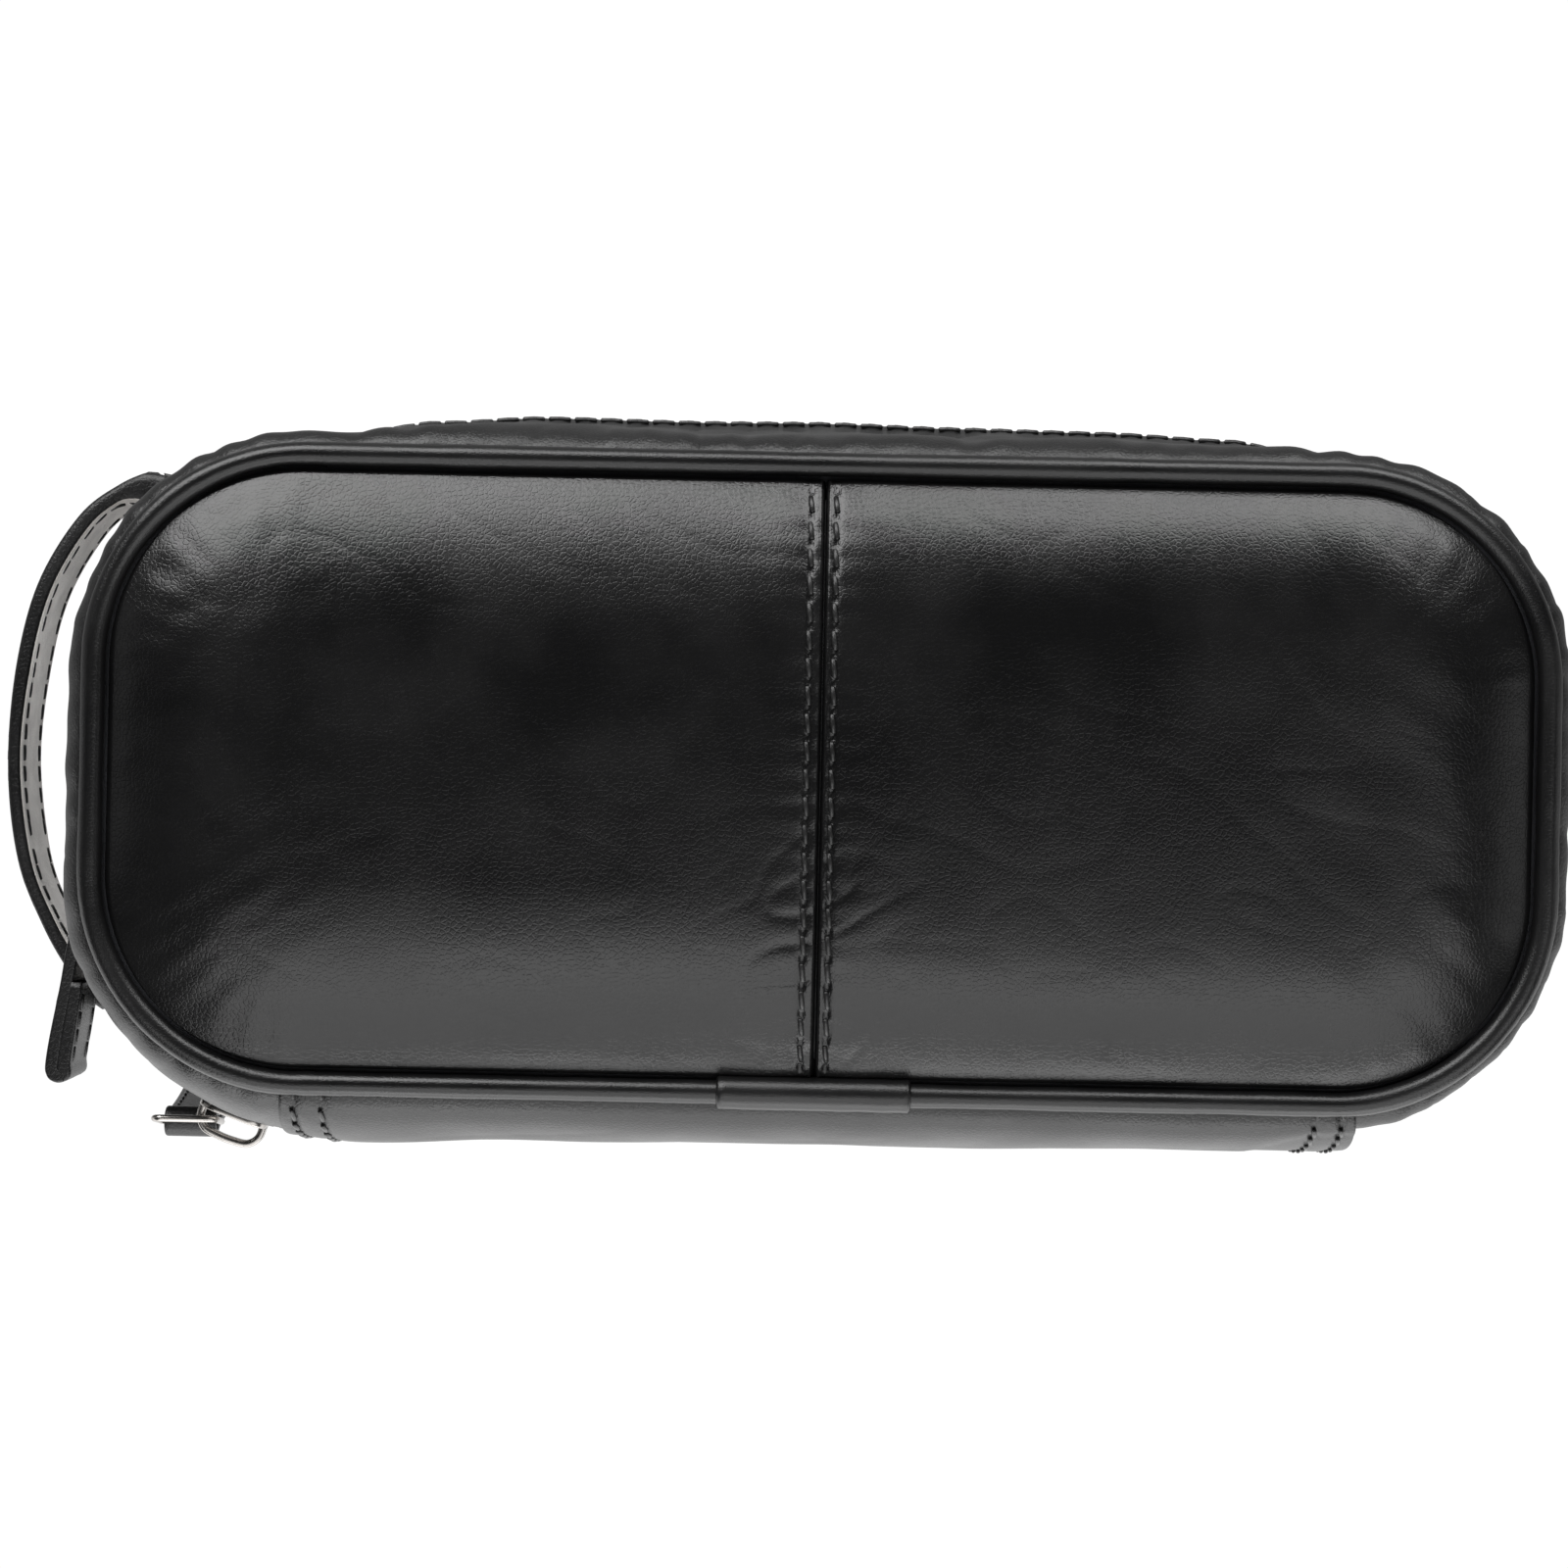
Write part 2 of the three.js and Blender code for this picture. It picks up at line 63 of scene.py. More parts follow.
class Slot(Enum):
    """The material slots that the finishes are given."""

    LEATHER = "leather"
    PIPING = "piping"
    STRAP = "strap"
    TAPE = "zip_tape"
    COIL = "zip_coil"
    LINING = "lining"
    BOARD = "board"
    FOAM = "foam"
    NICKEL = "nickel"


class Side(Enum):
    """The two halves of the bag, valued by the way they lie from the zip."""

    LID = 1
    BASE = -1

    @property
    def body(self) -> str:
        """The moving body that carries this half."""
        return self.name.lower()

    @property
    def face(self) -> str:
        """The word for this half's panel and piping."""
        return "front" if self is Side.LID else "back"


# ---------------------------------------------------------------- finishes


class Graph:
    """A node tree that is written from left to right."""

    def __init__(self, tree: bpy.types.NodeTree) -> None:
        """Keeps the tree, emptied."""
        self.tree = tree
        self.tree.nodes.clear()

    def node(self, kind: str, inputs: dict | None = None, **settings: object) -> bpy.types.Node:
        """Adds a node.

        Args:
            kind: The node's type name without its ShaderNode start.
            inputs: Values for its sockets, or sockets to join to them.
            settings: The node's own properties.

        Returns:
            The new node.
        """
        made = self.tree.nodes.new(kind if kind.startswith("Node") else "ShaderNode" + kind)
        for name, value in settings.items():
            setattr(made, name, value)
        for name, value in (inputs or {}).items():
            if isinstance(value, bpy.types.NodeSocket):
                self.tree.links.new(value, made.inputs[name])
            else:
                made.inputs[name].default_value = value
        return made

    def math(self, operation: str, first: object, second: object = 0.0) -> bpy.types.NodeSocket:
        """Joins two numbers or sockets by a Math operation and returns its output."""
        return self.node("Math", {0: first, 1: second}, operation=operation).outputs[0]

    def group(self, name: str, inputs: dict) -> bpy.types.NodeOutputs:
        """Adds one of the shared groups by its name and returns its outputs."""
        return self.node("Group", inputs, node_tree=bpy.data.node_groups[name]).outputs


def new_group(name: str, inputs: dict[str, str], outputs: dict[str, str]) -> bpy.types.NodeTree:
    """Makes an empty shader node group with its sockets.

    Args:
        name: The group's name.
        inputs: Socket names and their kinds, such as Float or Vector.
        outputs: Socket names and their kinds.

    Returns:
        The node group.
    """
    group = bpy.data.node_groups.new(name, "ShaderNodeTree")
    for way, sockets in (("INPUT", inputs), ("OUTPUT", outputs)):
        for label, kind in sockets.items():
            group.interface.new_socket(label, in_out=way, socket_type="NodeSocket" + kind)
    return group


def grain_group() -> None:
    """Builds the leather grain: rounded cells with fine creases between them, and broad soft unevenness."""
    group = new_group(
        "leather_grain",
        {"Position": "Vector", "Cells": "Float", "Creasing": "Float"},
        {"Height": "Float"},
    )
    graph = Graph(group)
    given = graph.node("NodeGroupInput").outputs
    warp = graph.node("TexNoise", {"Vector": given["Position"], "Scale": 420.0, "Detail": 2.0})
    bent = graph.node(
        "VectorMath", {0: warp.outputs["Color"], 1: (0.0007, 0.0007, 0.0007)}, operation="MULTIPLY"
    )
    moved = graph.node("VectorMath", {0: given["Position"], 1: bent.outputs[0]}, operation="ADD")
    cells = graph.node(
        "TexVoronoi",
        {"Vector": moved.outputs[0], "Scale": given["Cells"], "Randomness": 0.9},
        feature="DISTANCE_TO_EDGE",
    )
    pebble = graph.node(
        "MapRange",
        {"Value": cells.outputs["Distance"], "From Max": 0.22, "To Max": 1.0},
        interpolation_type="SMOOTHERSTEP",
    ).outputs[0]
    fine = graph.node("TexNoise", {"Vector": given["Position"], "Scale": 2600.0, "Detail": 3.0})
    lines = graph.node(
        "TexNoise", {"Vector": moved.outputs[0], "Scale": 150.0, "Detail": 4.0, "Roughness": 0.62}
    )
    fold = graph.math("ABSOLUTE", graph.math("SUBTRACT", lines.outputs["Fac"], 0.5))
    furrow = graph.node(
        "MapRange", {"Value": fold, "From Max": 0.035, "To Min": -1.0, "To Max": 0.0}
    ).outputs[0]
    creased = graph.math("MULTIPLY", furrow, given["Creasing"])
    rough = graph.math("MULTIPLY", fine.outputs["Fac"], 0.35)
    height = graph.math("ADD", graph.math("ADD", pebble, rough), creased)
    graph.node("NodeGroupOutput", {"Height": height})


def tone_group() -> None:
    """Builds the uneven tone of a handled surface: a colour that varies, and a roughness with it."""
    group = new_group(
        "handled_tone",
        {
            "Position": "Vector", "Dark": "Color", "Light": "Color", "Smooth": "Float",
            "Rough": "Float", "Patches": "Float",
        },
        {"Color": "Color", "Roughness": "Float"},
    )
    graph = Graph(group)
    given = graph.node("NodeGroupInput").outputs
    broad = graph.node(
        "TexNoise", {"Vector": given["Position"], "Scale": given["Patches"], "Detail": 4.0}
    ).outputs["Fac"]
    spread = graph.node("MapRange", {"Value": broad, "From Min": 0.35, "From Max": 0.65}).outputs[0]
    colour = graph.node("Mix", {0: spread, 6: given["Dark"], 7: given["Light"]}, data_type="RGBA")
    rough = graph.node(
        "MapRange", {"Value": spread, "To Min": given["Smooth"], "To Max": given["Rough"]}
    ).outputs[0]
    graph.node("NodeGroupOutput", {"Color": colour.outputs[2], "Roughness": rough})


def weave_group() -> None:
    """Builds a twill: diagonal ribs broken by the crossing threads."""
    group = new_group("twill_weave", {"Position": "Vector", "Threads": "Float"}, {"Height": "Float"})
    graph = Graph(group)
    given = graph.node("NodeGroupInput").outputs
    ribs = graph.node(
        "TexWave", {"Vector": given["Position"], "Scale": given["Threads"], "Distortion": 0.4},
        bands_direction="DIAGONAL",
    ).outputs["Fac"]
    across = graph.math("MULTIPLY", given["Threads"], 1.7)
    turned = graph.node("Mapping", {"Vector": given["Position"], "Rotation": (0.9, 0.7, 1.9)})
    crossing = graph.node(
        "TexWave", {"Vector": turned.outputs[0], "Scale": across, "Distortion": 0.6},
        bands_direction="DIAGONAL",
    ).outputs["Fac"]
    height = graph.math("MULTIPLY", ribs, graph.math("ADD", graph.math("MULTIPLY", crossing, 0.5), 0.5))
    graph.node("NodeGroupOutput", {"Height": height})


Colour = tuple[float, float, float]


@dataclass(frozen=True)
class Finish:
    """What every finish has: a name, the slot it fills, its tone, and a surface relief of its own."""

    name: str
    slot: Slot
    dark: Colour
    light: Colour
    smooth: float
    rough: float
    patches: float = 45.0
    specular: float = 0.5
    metallic: float = 0.0
    sheen: float = 0.0
    depth: float = 0.00008
    strength: float = 0.7

    def relief(self, graph: Graph, position: bpy.types.NodeSocket) -> bpy.types.NodeSocket:
        """Adds the nodes of the surface relief and returns its height. A plain finish is finely mottled."""
        return graph.node(
            "TexNoise", {"Vector": position, "Scale": 1800.0, "Detail": 3.0}
        ).outputs["Fac"]

    def material(self) -> bpy.types.Material:
        """Builds the material.

        Returns:
            The new material.
        """
        made = bpy.data.materials.new(self.name)
        made.use_nodes = True
        graph = Graph(made.node_tree)
        position = graph.node("TexCoord").outputs["Object"]
        tone = graph.group("handled_tone", {
            "Position": position, "Dark": (*self.dark, 1), "Light": (*self.light, 1),
            "Smooth": self.smooth, "Rough": self.rough, "Patches": self.patches,
        })
        height = self.relief(graph, position)
        bump = graph.node("Bump", {"Height": height, "Strength": self.strength, "Distance": self.depth})
        shader = graph.node(
            "BsdfPrincipled",
            {
                "Base Color": tone["Color"], "Roughness": tone["Roughness"],
                "Normal": bump.outputs[0], "Metallic": self.metallic, "Specular IOR Level": self.specular,
                "Sheen Weight": self.sheen, "Sheen Roughness": 0.5,
            },
        )
        graph.node("OutputMaterial", {"Surface": shader.outputs[0]})
        return made


@dataclass(frozen=True)
class Leather(Finish):
    """Grained leather. cells is the number of grain cells to the metre."""

    cells: float = 1150.0
    creasing: float = 0.35

    def relief(self, graph: Graph, position: bpy.types.NodeSocket) -> bpy.types.NodeSocket:
        """Adds the leather grain and returns its height."""
        given = {"Position": position, "Cells": self.cells, "Creasing": self.creasing}
        return graph.group("leather_grain", given)["Height"]


@dataclass(frozen=True)
class Woven(Finish):
    """Woven cloth or tape. threads sets the ribs to the metre."""

    threads: float = 420.0

    def relief(self, graph: Graph, position: bpy.types.NodeSocket) -> bpy.types.NodeSocket:
        """Adds the twill and returns its height."""
        return graph.group("twill_weave", {"Position": position, "Threads": self.threads})["Height"]


@dataclass(frozen=True)
class Brushed(Finish):
    """Plated metal with a faint lengthwise brushing and soft handling marks."""

    def relief(self, graph: Graph, position: bpy.types.NodeSocket) -> bpy.types.NodeSocket:
        """Adds stretched scratches and returns their height."""
        stretched = graph.node("Mapping", {"Vector": position, "Scale": (0.15, 1.0, 1.0)})
        return graph.node(
            "TexNoise", {"Vector": stretched.outputs[0], "Scale": 5200.0, "Detail": 4.0}
        ).outputs["Fac"]


BLACK = (0.0034, 0.0034, 0.0036)
SOFT_BLACK = (0.0060, 0.0059, 0.0061)
PANEL = Leather("panel_leather", Slot.LEATHER, BLACK, SOFT_BLACK, 0.23, 0.29, strength=0.22, creasing=0.25)
GUSSET = Leather("gusset_leather", Slot.LEATHER, BLACK, SOFT_BLACK, 0.36, 0.46, strength=0.4, creasing=0.6)
BOUND = Leather(
    "piping_leather", Slot.PIPING, BLACK, SOFT_BLACK, 0.27, 0.35,
    depth=0.00005, strength=0.25, cells=1500.0, creasing=0.15,
)
TRIM = Leather("trim_leather", Slot.LEATHER, BLACK, SOFT_BLACK, 0.34, 0.44, strength=0.3, creasing=0.2)
STRAP = Leather("strap_leather", Slot.STRAP, BLACK, SOFT_BLACK, 0.34, 0.44, strength=0.35, creasing=0.3)
SUEDE = Finish(
    "suede", Slot.STRAP, (0.62, 0.59, 0.56), (0.84, 0.81, 0.77), 0.85, 0.97,
    patches=160.0, sheen=0.5, specular=0.2, depth=0.0002,
)
THREAD = Woven("waxed_thread", Slot.LEATHER, (0.009, 0.009, 0.009), (0.016, 0.016, 0.016), 0.30, 0.38,
               depth=0.00004, strength=0.4, threads=900.0)
TAPE = Woven("zip_tape", Slot.TAPE, (0.010, 0.010, 0.011), (0.017, 0.017, 0.018), 0.7, 0.85, threads=520.0)
COIL = Finish("zip_coil", Slot.COIL, (0.011, 0.011, 0.012), (0.02, 0.02, 0.021), 0.24, 0.34, depth=0.00002)
LINING = Woven(
    "lining_cloth", Slot.LINING, (0.020, 0.021, 0.025), (0.030, 0.031, 0.036), 0.6, 0.75,
    sheen=0.25, threads=360.0,
)
BOARD = Woven("board_cloth", Slot.BOARD, (0.05, 0.045, 0.04), (0.08, 0.07, 0.06), 0.8, 0.95)
FOAM = Finish("foam", Slot.FOAM, (0.25, 0.24, 0.22), (0.34, 0.33, 0.3), 0.9, 0.98, depth=0.0003)
NICKEL = Brushed(
    "nickel", Slot.NICKEL, (0.34, 0.325, 0.31), (0.45, 0.43, 0.41), 0.2, 0.3,
    metallic=1.0, depth=0.00001, strength=0.3,
)


# ---------------------------------------------------------------- form


# Where the soft side has settled inward: shares of the way round from the hinge's middle, and millimetres.
SETTLED = (
    (0.0, 0.7), (0.105, 0.9), (0.124, 5.2), (0.15, 6.2), (0.17, 6.6), (0.225, 5.7), (0.25, 5.5), (0.275, 5.8),
    (0.31, 5.2), (0.345, 7.0), (0.372, 7.2), (0.40, 3.6), (0.43, 2.9), (0.47, 2.8), (0.50, 2.4),
    (0.53, 2.6), (0.57, 2.2), (0.595, 3.2), (0.625, 6.4), (0.66, 6.2), (0.70, 5.4), (0.73, 3.6),
    (0.775, 3.0), (0.80, 1.9), (0.84, 1.3), (0.87, 0.4), (0.89, -0.6), (0.93, 0.2), (1.0, 0.7),
)


@dataclass(frozen=True)
class BagForm:
    """The rounded rectangle that every layer of the body is carried round, and the curve of its side.

    A place on it is (s, r, z): s runs anticlockwise from the middle of the hinge side, measured where
    the side bulges most, and r is the distance out from the core rectangle.
    """

    centre: Vector
    core_x: float
    core_y: float
    piping_r: float
    back_z: float
    front_z: float
    tube: float
    bulge: float = 0.0115
    fit: float = 0.0003

    @classmethod
    def from_frame(cls, core_y: float = 0.018, tube: float = 0.0021) -> "BagForm":
        """Reads the form from the frame's piping.

        Args:
            core_y: Half of the core rectangle's short side.
            tube: The piping's radius.

        Returns:
            The form.
        """
        low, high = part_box("front_piping")
        half = (high - low) / 2
        back_low, back_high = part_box("back_piping")
        piping_r = half.y - tube - core_y
        return cls(
            centre=Vector(((low.x + high.x) / 2, (low.y + high.y) / 2, 0)),
            core_x=half.x - tube - piping_r,
            core_y=core_y,
            piping_r=piping_r,
            back_z=(back_low.z + back_high.z) / 2,
            front_z=(low.z + high.z) / 2,
            tube=tube,
        )

    @property
    def zip_z(self) -> float:
        """The height of the zip."""
        return (self.back_z + self.front_z) / 2

    @property
    def bulge_r(self) -> float:
        """How far out the side reaches at the zip."""
        return self.piping_r + self.bulge

    @property
    def perimeter(self) -> float:
        """The distance once round, where the side bulges most."""
        return 4 * (self.core_x + self.core_y) + 2 * math.pi * self.bulge_r

    def piping_z(self, side: Side) -> float:
        """The height of one half's piping."""
        return self.front_z if side is Side.LID else self.back_z

    def walk(self, s: float) -> tuple[Vector, Vector]:
        """Goes round the body.

        Args:
            s: The distance from the middle of the hinge side.

        Returns:
            The core point and the outward direction there.
        """
        s = (s + self.core_x) % self.perimeter - self.core_x
        if s <= self.core_x:
            return self.centre + Vector((s, -self.core_y, 0)), Vector((0, -1, 0))
        s -= self.core_x
        quarter = self.bulge_r * QUARTER
        corners = ((1, -1), (1, 1), (-1, 1), (-1, -1))
        runs = (2 * self.core_y, 2 * self.core_x, 2 * self.core_y, self.core_x)
        for turn, ((x, y), run) in enumerate(zip(corners, runs)):
            corner = self.centre + Vector((x * self.core_x, y * self.core_y, 0))
            angle = turn * QUARTER - QUARTER
            if s < quarter:
                angle += s / self.bulge_r
                return corner, Vector((math.cos(angle), math.sin(angle), 0))
            s -= quarter
            if s <= run:
                out = Vector((math.cos(angle + QUARTER), math.sin(angle + QUARTER), 0))
                return corner + s * Vector((-out.y, out.x, 0)), out
            s -= run
        return corner, Vector((0, -1, 0))

    def locate(self, at: Vector) -> tuple[float, float]:
        """Finds where a point lies round the body.

        Args:
            at: A point in the frame.

        Returns:
            Its s and its r.
        """
        x, y = at.x - self.centre.x, at.y - self.centre.y
        px = min(max(x, -self.core_x), self.core_x)
        py = min(max(y, -self.core_y), self.core_y)
        dx, dy = x - px, y - py
        r = math.hypot(dx, dy)
        if r < 1e-9:
            return 0.0, 0.0
        angle = (math.atan2(dy, dx) + QUARTER) % (2 * math.pi)
        if angle > 2 * math.pi - 1e-6:
            angle = 0.0
        turned = round(angle / QUARTER)
        straight = abs(angle - turned * QUARTER) < 1e-6
        gone = (px, self.core_x + self.core_y + py, 2 * (self.core_x + self.core_y) - px,
                3 * self.core_x + 3 * self.core_y - py)
        if straight:
            return gone[turned % 4] + turned % 4 * self.bulge_r * QUARTER, r
        passed = (self.core_x, self.core_x + 2 * self.core_y, 3 * self.core_x + 2 * self.core_y,
                  3 * self.core_x + 4 * self.core_y)
        return passed[int(angle / QUARTER)] + angle * self.bulge_r, r

    def sunk(self, s: float) -> float:
        """How far the soft side has settled inward at a distance round the body."""
        share = s % self.perimeter / self.perimeter
        for (start, before), (end, after) in zip(SETTLED, SETTLED[1:]):
            if share <= end:
                return (before + (after - before) * ramp(share, start, end)) * MM
        return 0.0

    def loss(self, s: float, z: float) -> float:
        """How far the settled side lies inside its full form, most by the zip and nothing at the piping."""
        return self.sunk(s) * (1 - ramp(abs(z - self.zip_z), 24 * MM, 45 * MM))

    def settled(self, bm: bmesh.types.BMesh, most: float = 0.01) -> bmesh.types.BMesh:
        """Draws a side layer inward where the bag has settled, by some distance at most, and returns it."""
        for v in bm.verts:
            s, r = self.locate(v.co)
            if r > 1 * MM:
                out = (Vector((v.co.x, v.co.y, 0)) - self.walk(s)[0]).normalized()
                v.co -= out * min(self.loss(s, v.co.z), most)
        return bm

    def beyond(self, x: float, y: float) -> tuple[float, float]:
        """How far a place lies outside the core rectangle, lengthwise and across."""
        return max(abs(x) - self.core_x, 0), max(abs(y) - self.core_y, 0)

    def rounded(self, x: float, y: float, radius: float) -> tuple[float, float]:
        """Moves a point of a rectangle so that the rectangle gets this form's round corners."""
        a, b = (abs(x) - self.core_x) / radius, (abs(y) - self.core_y) / radius
        if a <= 0 or b <= 0:
            return x, y
        return (math.copysign(self.core_x + radius * a * math.sqrt(1 - b * b / 2), x),
                math.copysign(self.core_y + radius * b * math.sqrt(1 - a * a / 2), y))

    def hollow(self, s: float, z: float) -> float:
        """How far the base's outer face lies inside the widest reach of the side, at a place on it."""
        line = self.side_line(Side.BASE, self.zip_z, 0.0)
        for a, b in zip(line, line[1:]):
            if z <= b.y:
                return self.bulge_r - a.x - (b.x - a.x) * ramp(z, a.y, b.y) + self.loss(s, z)
        return self.loss(s, z)

    def spot(self, s: float, r: float, z: float) -> Vector:
        """The point at a place on the form."""
        core, out = self.walk(s)
        return core + out * r + UP * z

    def side_line(self, side: Side, end_z: float, depth: float, steps: int = 32) -> list[Vector]:
        """Follows the bulging side from the piping towards the zip.

        Args:
            side: The lid or the base.
            end_z: The height where the line stops.
            depth: How far inside the outer face it runs.
            steps: The number of steps on the whole curve.

        Returns:
            The line as (r, z) points.
        """
        sign = side.value
        start_z = self.piping_z(side) - sign * (self.tube + self.fit)
        span = self.front_z - self.back_z
        handles = (
            Vector((self.piping_r + self.tube / 2, start_z, 0)),
            Vector((self.bulge_r - self.bulge / 3, start_z - sign * self.fit, 0)),
            Vector((self.bulge_r, self.zip_z + sign * span * 0.3, 0)),
            Vector((self.bulge_r, self.zip_z, 0)),
        )
        points = [p.to_2d() for p in geometry.interpolate_bezier(*handles, steps)]
        line = []
        for before, at, after in zip(points[:1] + points, points, points[1:] + points[-1:]):
            along = (after - before).normalized()
            moved = at + depth * sign * Vector((along.y, -along.x))
            if sign * (moved.y - end_z) <= 0:
                line.append(Vector((moved.x, end_z)))
                break
            line.append(moved)
        return line

    def ring(self, section: Sequence[Vector], pitch: float, gap: float = 0.0) -> bmesh.types.BMesh:
        """Carries a closed section round the body.

        Args:
            section: The section as (r, z) points.
            pitch: The length of one step on the straights.
            gap: Half of the stretch that is left out at the hinge side.

        Returns:
            The ring, closed on itself or with its two ends capped.
        """
        start = [self.centre + Vector((gap, -self.core_y - p.x, p.y)) for p in section]
        sweep = Sweep(start)
        heading = Vector((1, 0, 0))
        runs = (self.core_x - gap, 2 * self.core_y, 2 * self.core_x, 2 * self.core_y)
        corners = ((1, -1), (1, 1), (-1, 1), (-1, -1))
        for run, (x, y) in zip(runs, corners):
            sweep.run(heading * run, max(1, round(run / pitch)))
            corner = self.centre + Vector((x * self.core_x, y * self.core_y, 0))
            sweep.turn(corner, UP, QUARTER, round(self.bulge_r * QUARTER / pitch))
            heading = Vector((-heading.y, heading.x, 0))
        sweep.run(heading * (self.core_x - gap), max(1, round((self.core_x - gap) / pitch)))
        return sweep.closed() if gap == 0 else sweep.capped()


class Sweep:
    """Draws a closed section along runs and turns with mesh operators."""

    def __init__(self, points: Sequence[Vector]) -> None:
        """Starts at a closed loop of points."""
        self.bm = bmesh.new()
        verts = [self.bm.verts.new(p) for p in points]
        self.front = [self.bm.edges.new(pair) for pair in zip(verts, verts[1:] + verts[:1])]

    def step(self) -> list[bmesh.types.BMVert]:
        """Extrudes the front loop in place and returns its new vertices."""
        made = bmesh.ops.extrude_edge_only(self.bm, edges=self.front)["geom"]
        verts = [v for v in made if isinstance(v, bmesh.types.BMVert)]
        new = set(verts)
        self.front = [e for e in {e for v in verts for e in v.link_edges}
                      if e.verts[0] in new and e.verts[1] in new]
        return verts

    def run(self, offset: Vector, steps: int) -> None:
        """Goes straight by an offset, in equal steps."""
        verts = self.step()
        new = set(verts)
        bmesh.ops.translate(self.bm, verts=verts, vec=offset)
        sides = [e for v in verts for e in v.link_edges if e.other_vert(v) not in new]
        if steps > 1:
            bmesh.ops.subdivide_edges(self.bm, edges=sides, cuts=steps - 1, use_grid_fill=True)

    def turn(self, centre: Vector, axis: Vector, angle: float, steps: int) -> None:
        """Turns about an axis through a centre, in equal steps."""
        verts = {v for e in self.front for v in e.verts}
        made = bmesh.ops.spin(
            self.bm, geom=[*verts, *self.front], cent=centre, axis=axis, angle=angle, steps=steps,
            use_duplicate=False,
        )["geom_last"]
        self.front = [e for e in made if isinstance(e, bmesh.types.BMEdge)]

    def carry(self, change: Matrix) -> None:
        """Extrudes once and moves the new loop by a matrix."""
        bmesh.ops.transform(self.bm, matrix=change, verts=self.step())

    def closed(self) -> bmesh.types.BMesh:
        """Merges the last loop with the first and returns the mesh."""
        bmesh.ops.remove_doubles(self.bm, verts=self.bm.verts, dist=2e-6)
        bmesh.ops.recalc_face_normals(self.bm, faces=self.bm.faces)
        return self.bm

    def capped(self) -> bmesh.types.BMesh:
        """Closes both ends and returns the mesh."""
        open_edges = [e for e in self.bm.edges if e.is_boundary]
        bmesh.ops.holes_fill(self.bm, edges=open_edges, sides=0)
        bmesh.ops.recalc_face_normals(self.bm, faces=self.bm.faces)
        return self.bm


def thickened(line: Sequence[Vector], half: Callable[[float], float], rounding: int = 4) -> list[Vector]:
    """Gives a line of (r, z) points a thickness, with both ends rounded.

    Args:
        line: The middle line.
        half: Half of the thickness, by the share of the line's points passed.
        rounding: The number of steps round each end.

    Returns:
        The closed section.
    """
    last = len(line) - 1
    sides: tuple[list[Vector], list[Vector]] = ([], [])
    ends = []
    for index, at in enumerate(line):
        along = (line[min(index + 1, last)] - line[max(index - 1, 0)]).normalized()
        across = Vector((-along.y, along.x)) * half(index / last)
        sides[0].append(at + across)
        sides[1].append(at - across)
        if index in (0, last):
            ends.append((at, across, along * half(index / last)))
    steps = [k * math.pi / rounding for k in range(1, rounding)]
    (first, first_across, first_along), (end, end_across, end_along) = ends
    far = [end + end_across * math.cos(a) + end_along * math.sin(a) for a in steps]
    near = [first - first_across * math.cos(a) - first_along * math.sin(a) for a in steps]
    return [*sides[0], *far, *reversed(sides[1]), *near]


def rounded_box(half_x: float, half_y: float, radius: float, corner_steps: int = 3,
                side_steps: int = 1) -> list[Vector]:
    """Draws a closed rectangle with round corners, centred on the origin.

    Args:
        half_x: Half of its first side.
        half_y: Half of its second side.
        radius: The corners' radius.
        corner_steps: The steps round a corner.
        side_steps: The steps along each side.

    Returns:
        The outline's points, anticlockwise.
    """
    points = []
    for turn, (x, y) in enumerate(((1, 1), (-1, 1), (-1, -1), (1, -1))):
        corner = Vector((x * (half_x - radius), y * (half_y - radius)))
        arc = [turn * QUARTER + k * QUARTER / corner_steps for k in range(corner_steps + 1)]
        points += [corner + radius * Vector((math.cos(a), math.sin(a))) for a in arc]
    closed = []
    for at, after in zip(points, points[1:] + points[:1]):
        steps = side_steps if (after - at).length > radius * 1.2 else 1
        closed += [at.lerp(after, k / steps) for k in range(steps)]
    return closed


def spline(points: Sequence[Vector], steps: int) -> list[Vector]:
    """Runs a smooth curve through points.

    Args:
        points: The points that it passes, in order.
        steps: The steps between two of them.

    Returns:
        The curve's points.
    """
    given = [points[0] * 2 - points[1], *points, points[-1] * 2 - points[-2]]
    curve = []
    for a, b, c, d in zip(given, given[1:], given[2:], given[3:]):
        curve += geometry.interpolate_bezier(b, b + (c - a) / 6, c - (d - b) / 6, c, steps + 1)[:-1]
    return [*curve, points[-1].copy()]


def follow(path: Sequence[Vector], section: Sequence[Vector], side: Vector,
           thickness: Callable[[float], float] = lambda share: 1.0) -> bmesh.types.BMesh:
    """Draws a section along a path that turns in one plane.

    Args:
        path: The path's points.
        section: The closed section, first across the path in its plane and then along side.
        side: The direction that stands square to the path's plane.
        thickness: A scale for the first of them, by the share of the path passed.

    Returns:
        The swept mesh, with capped ends.
    """
    last = len(path) - 1
    frames = []
    for index, at in enumerate(path):
        along = (path[min(index + 1, last)] - path[max(index - 1, 0)]).normalized()
        across = side.cross(along) * thickness(index / last)
        frames.append(axes(across, side, along, at))
    sweep = Sweep([frames[0] @ Vector((p.x, p.y, 0)) for p in section])
    for before, after in zip(frames, frames[1:]):
        sweep.carry(after @ before.inverted())
    return sweep.capped()


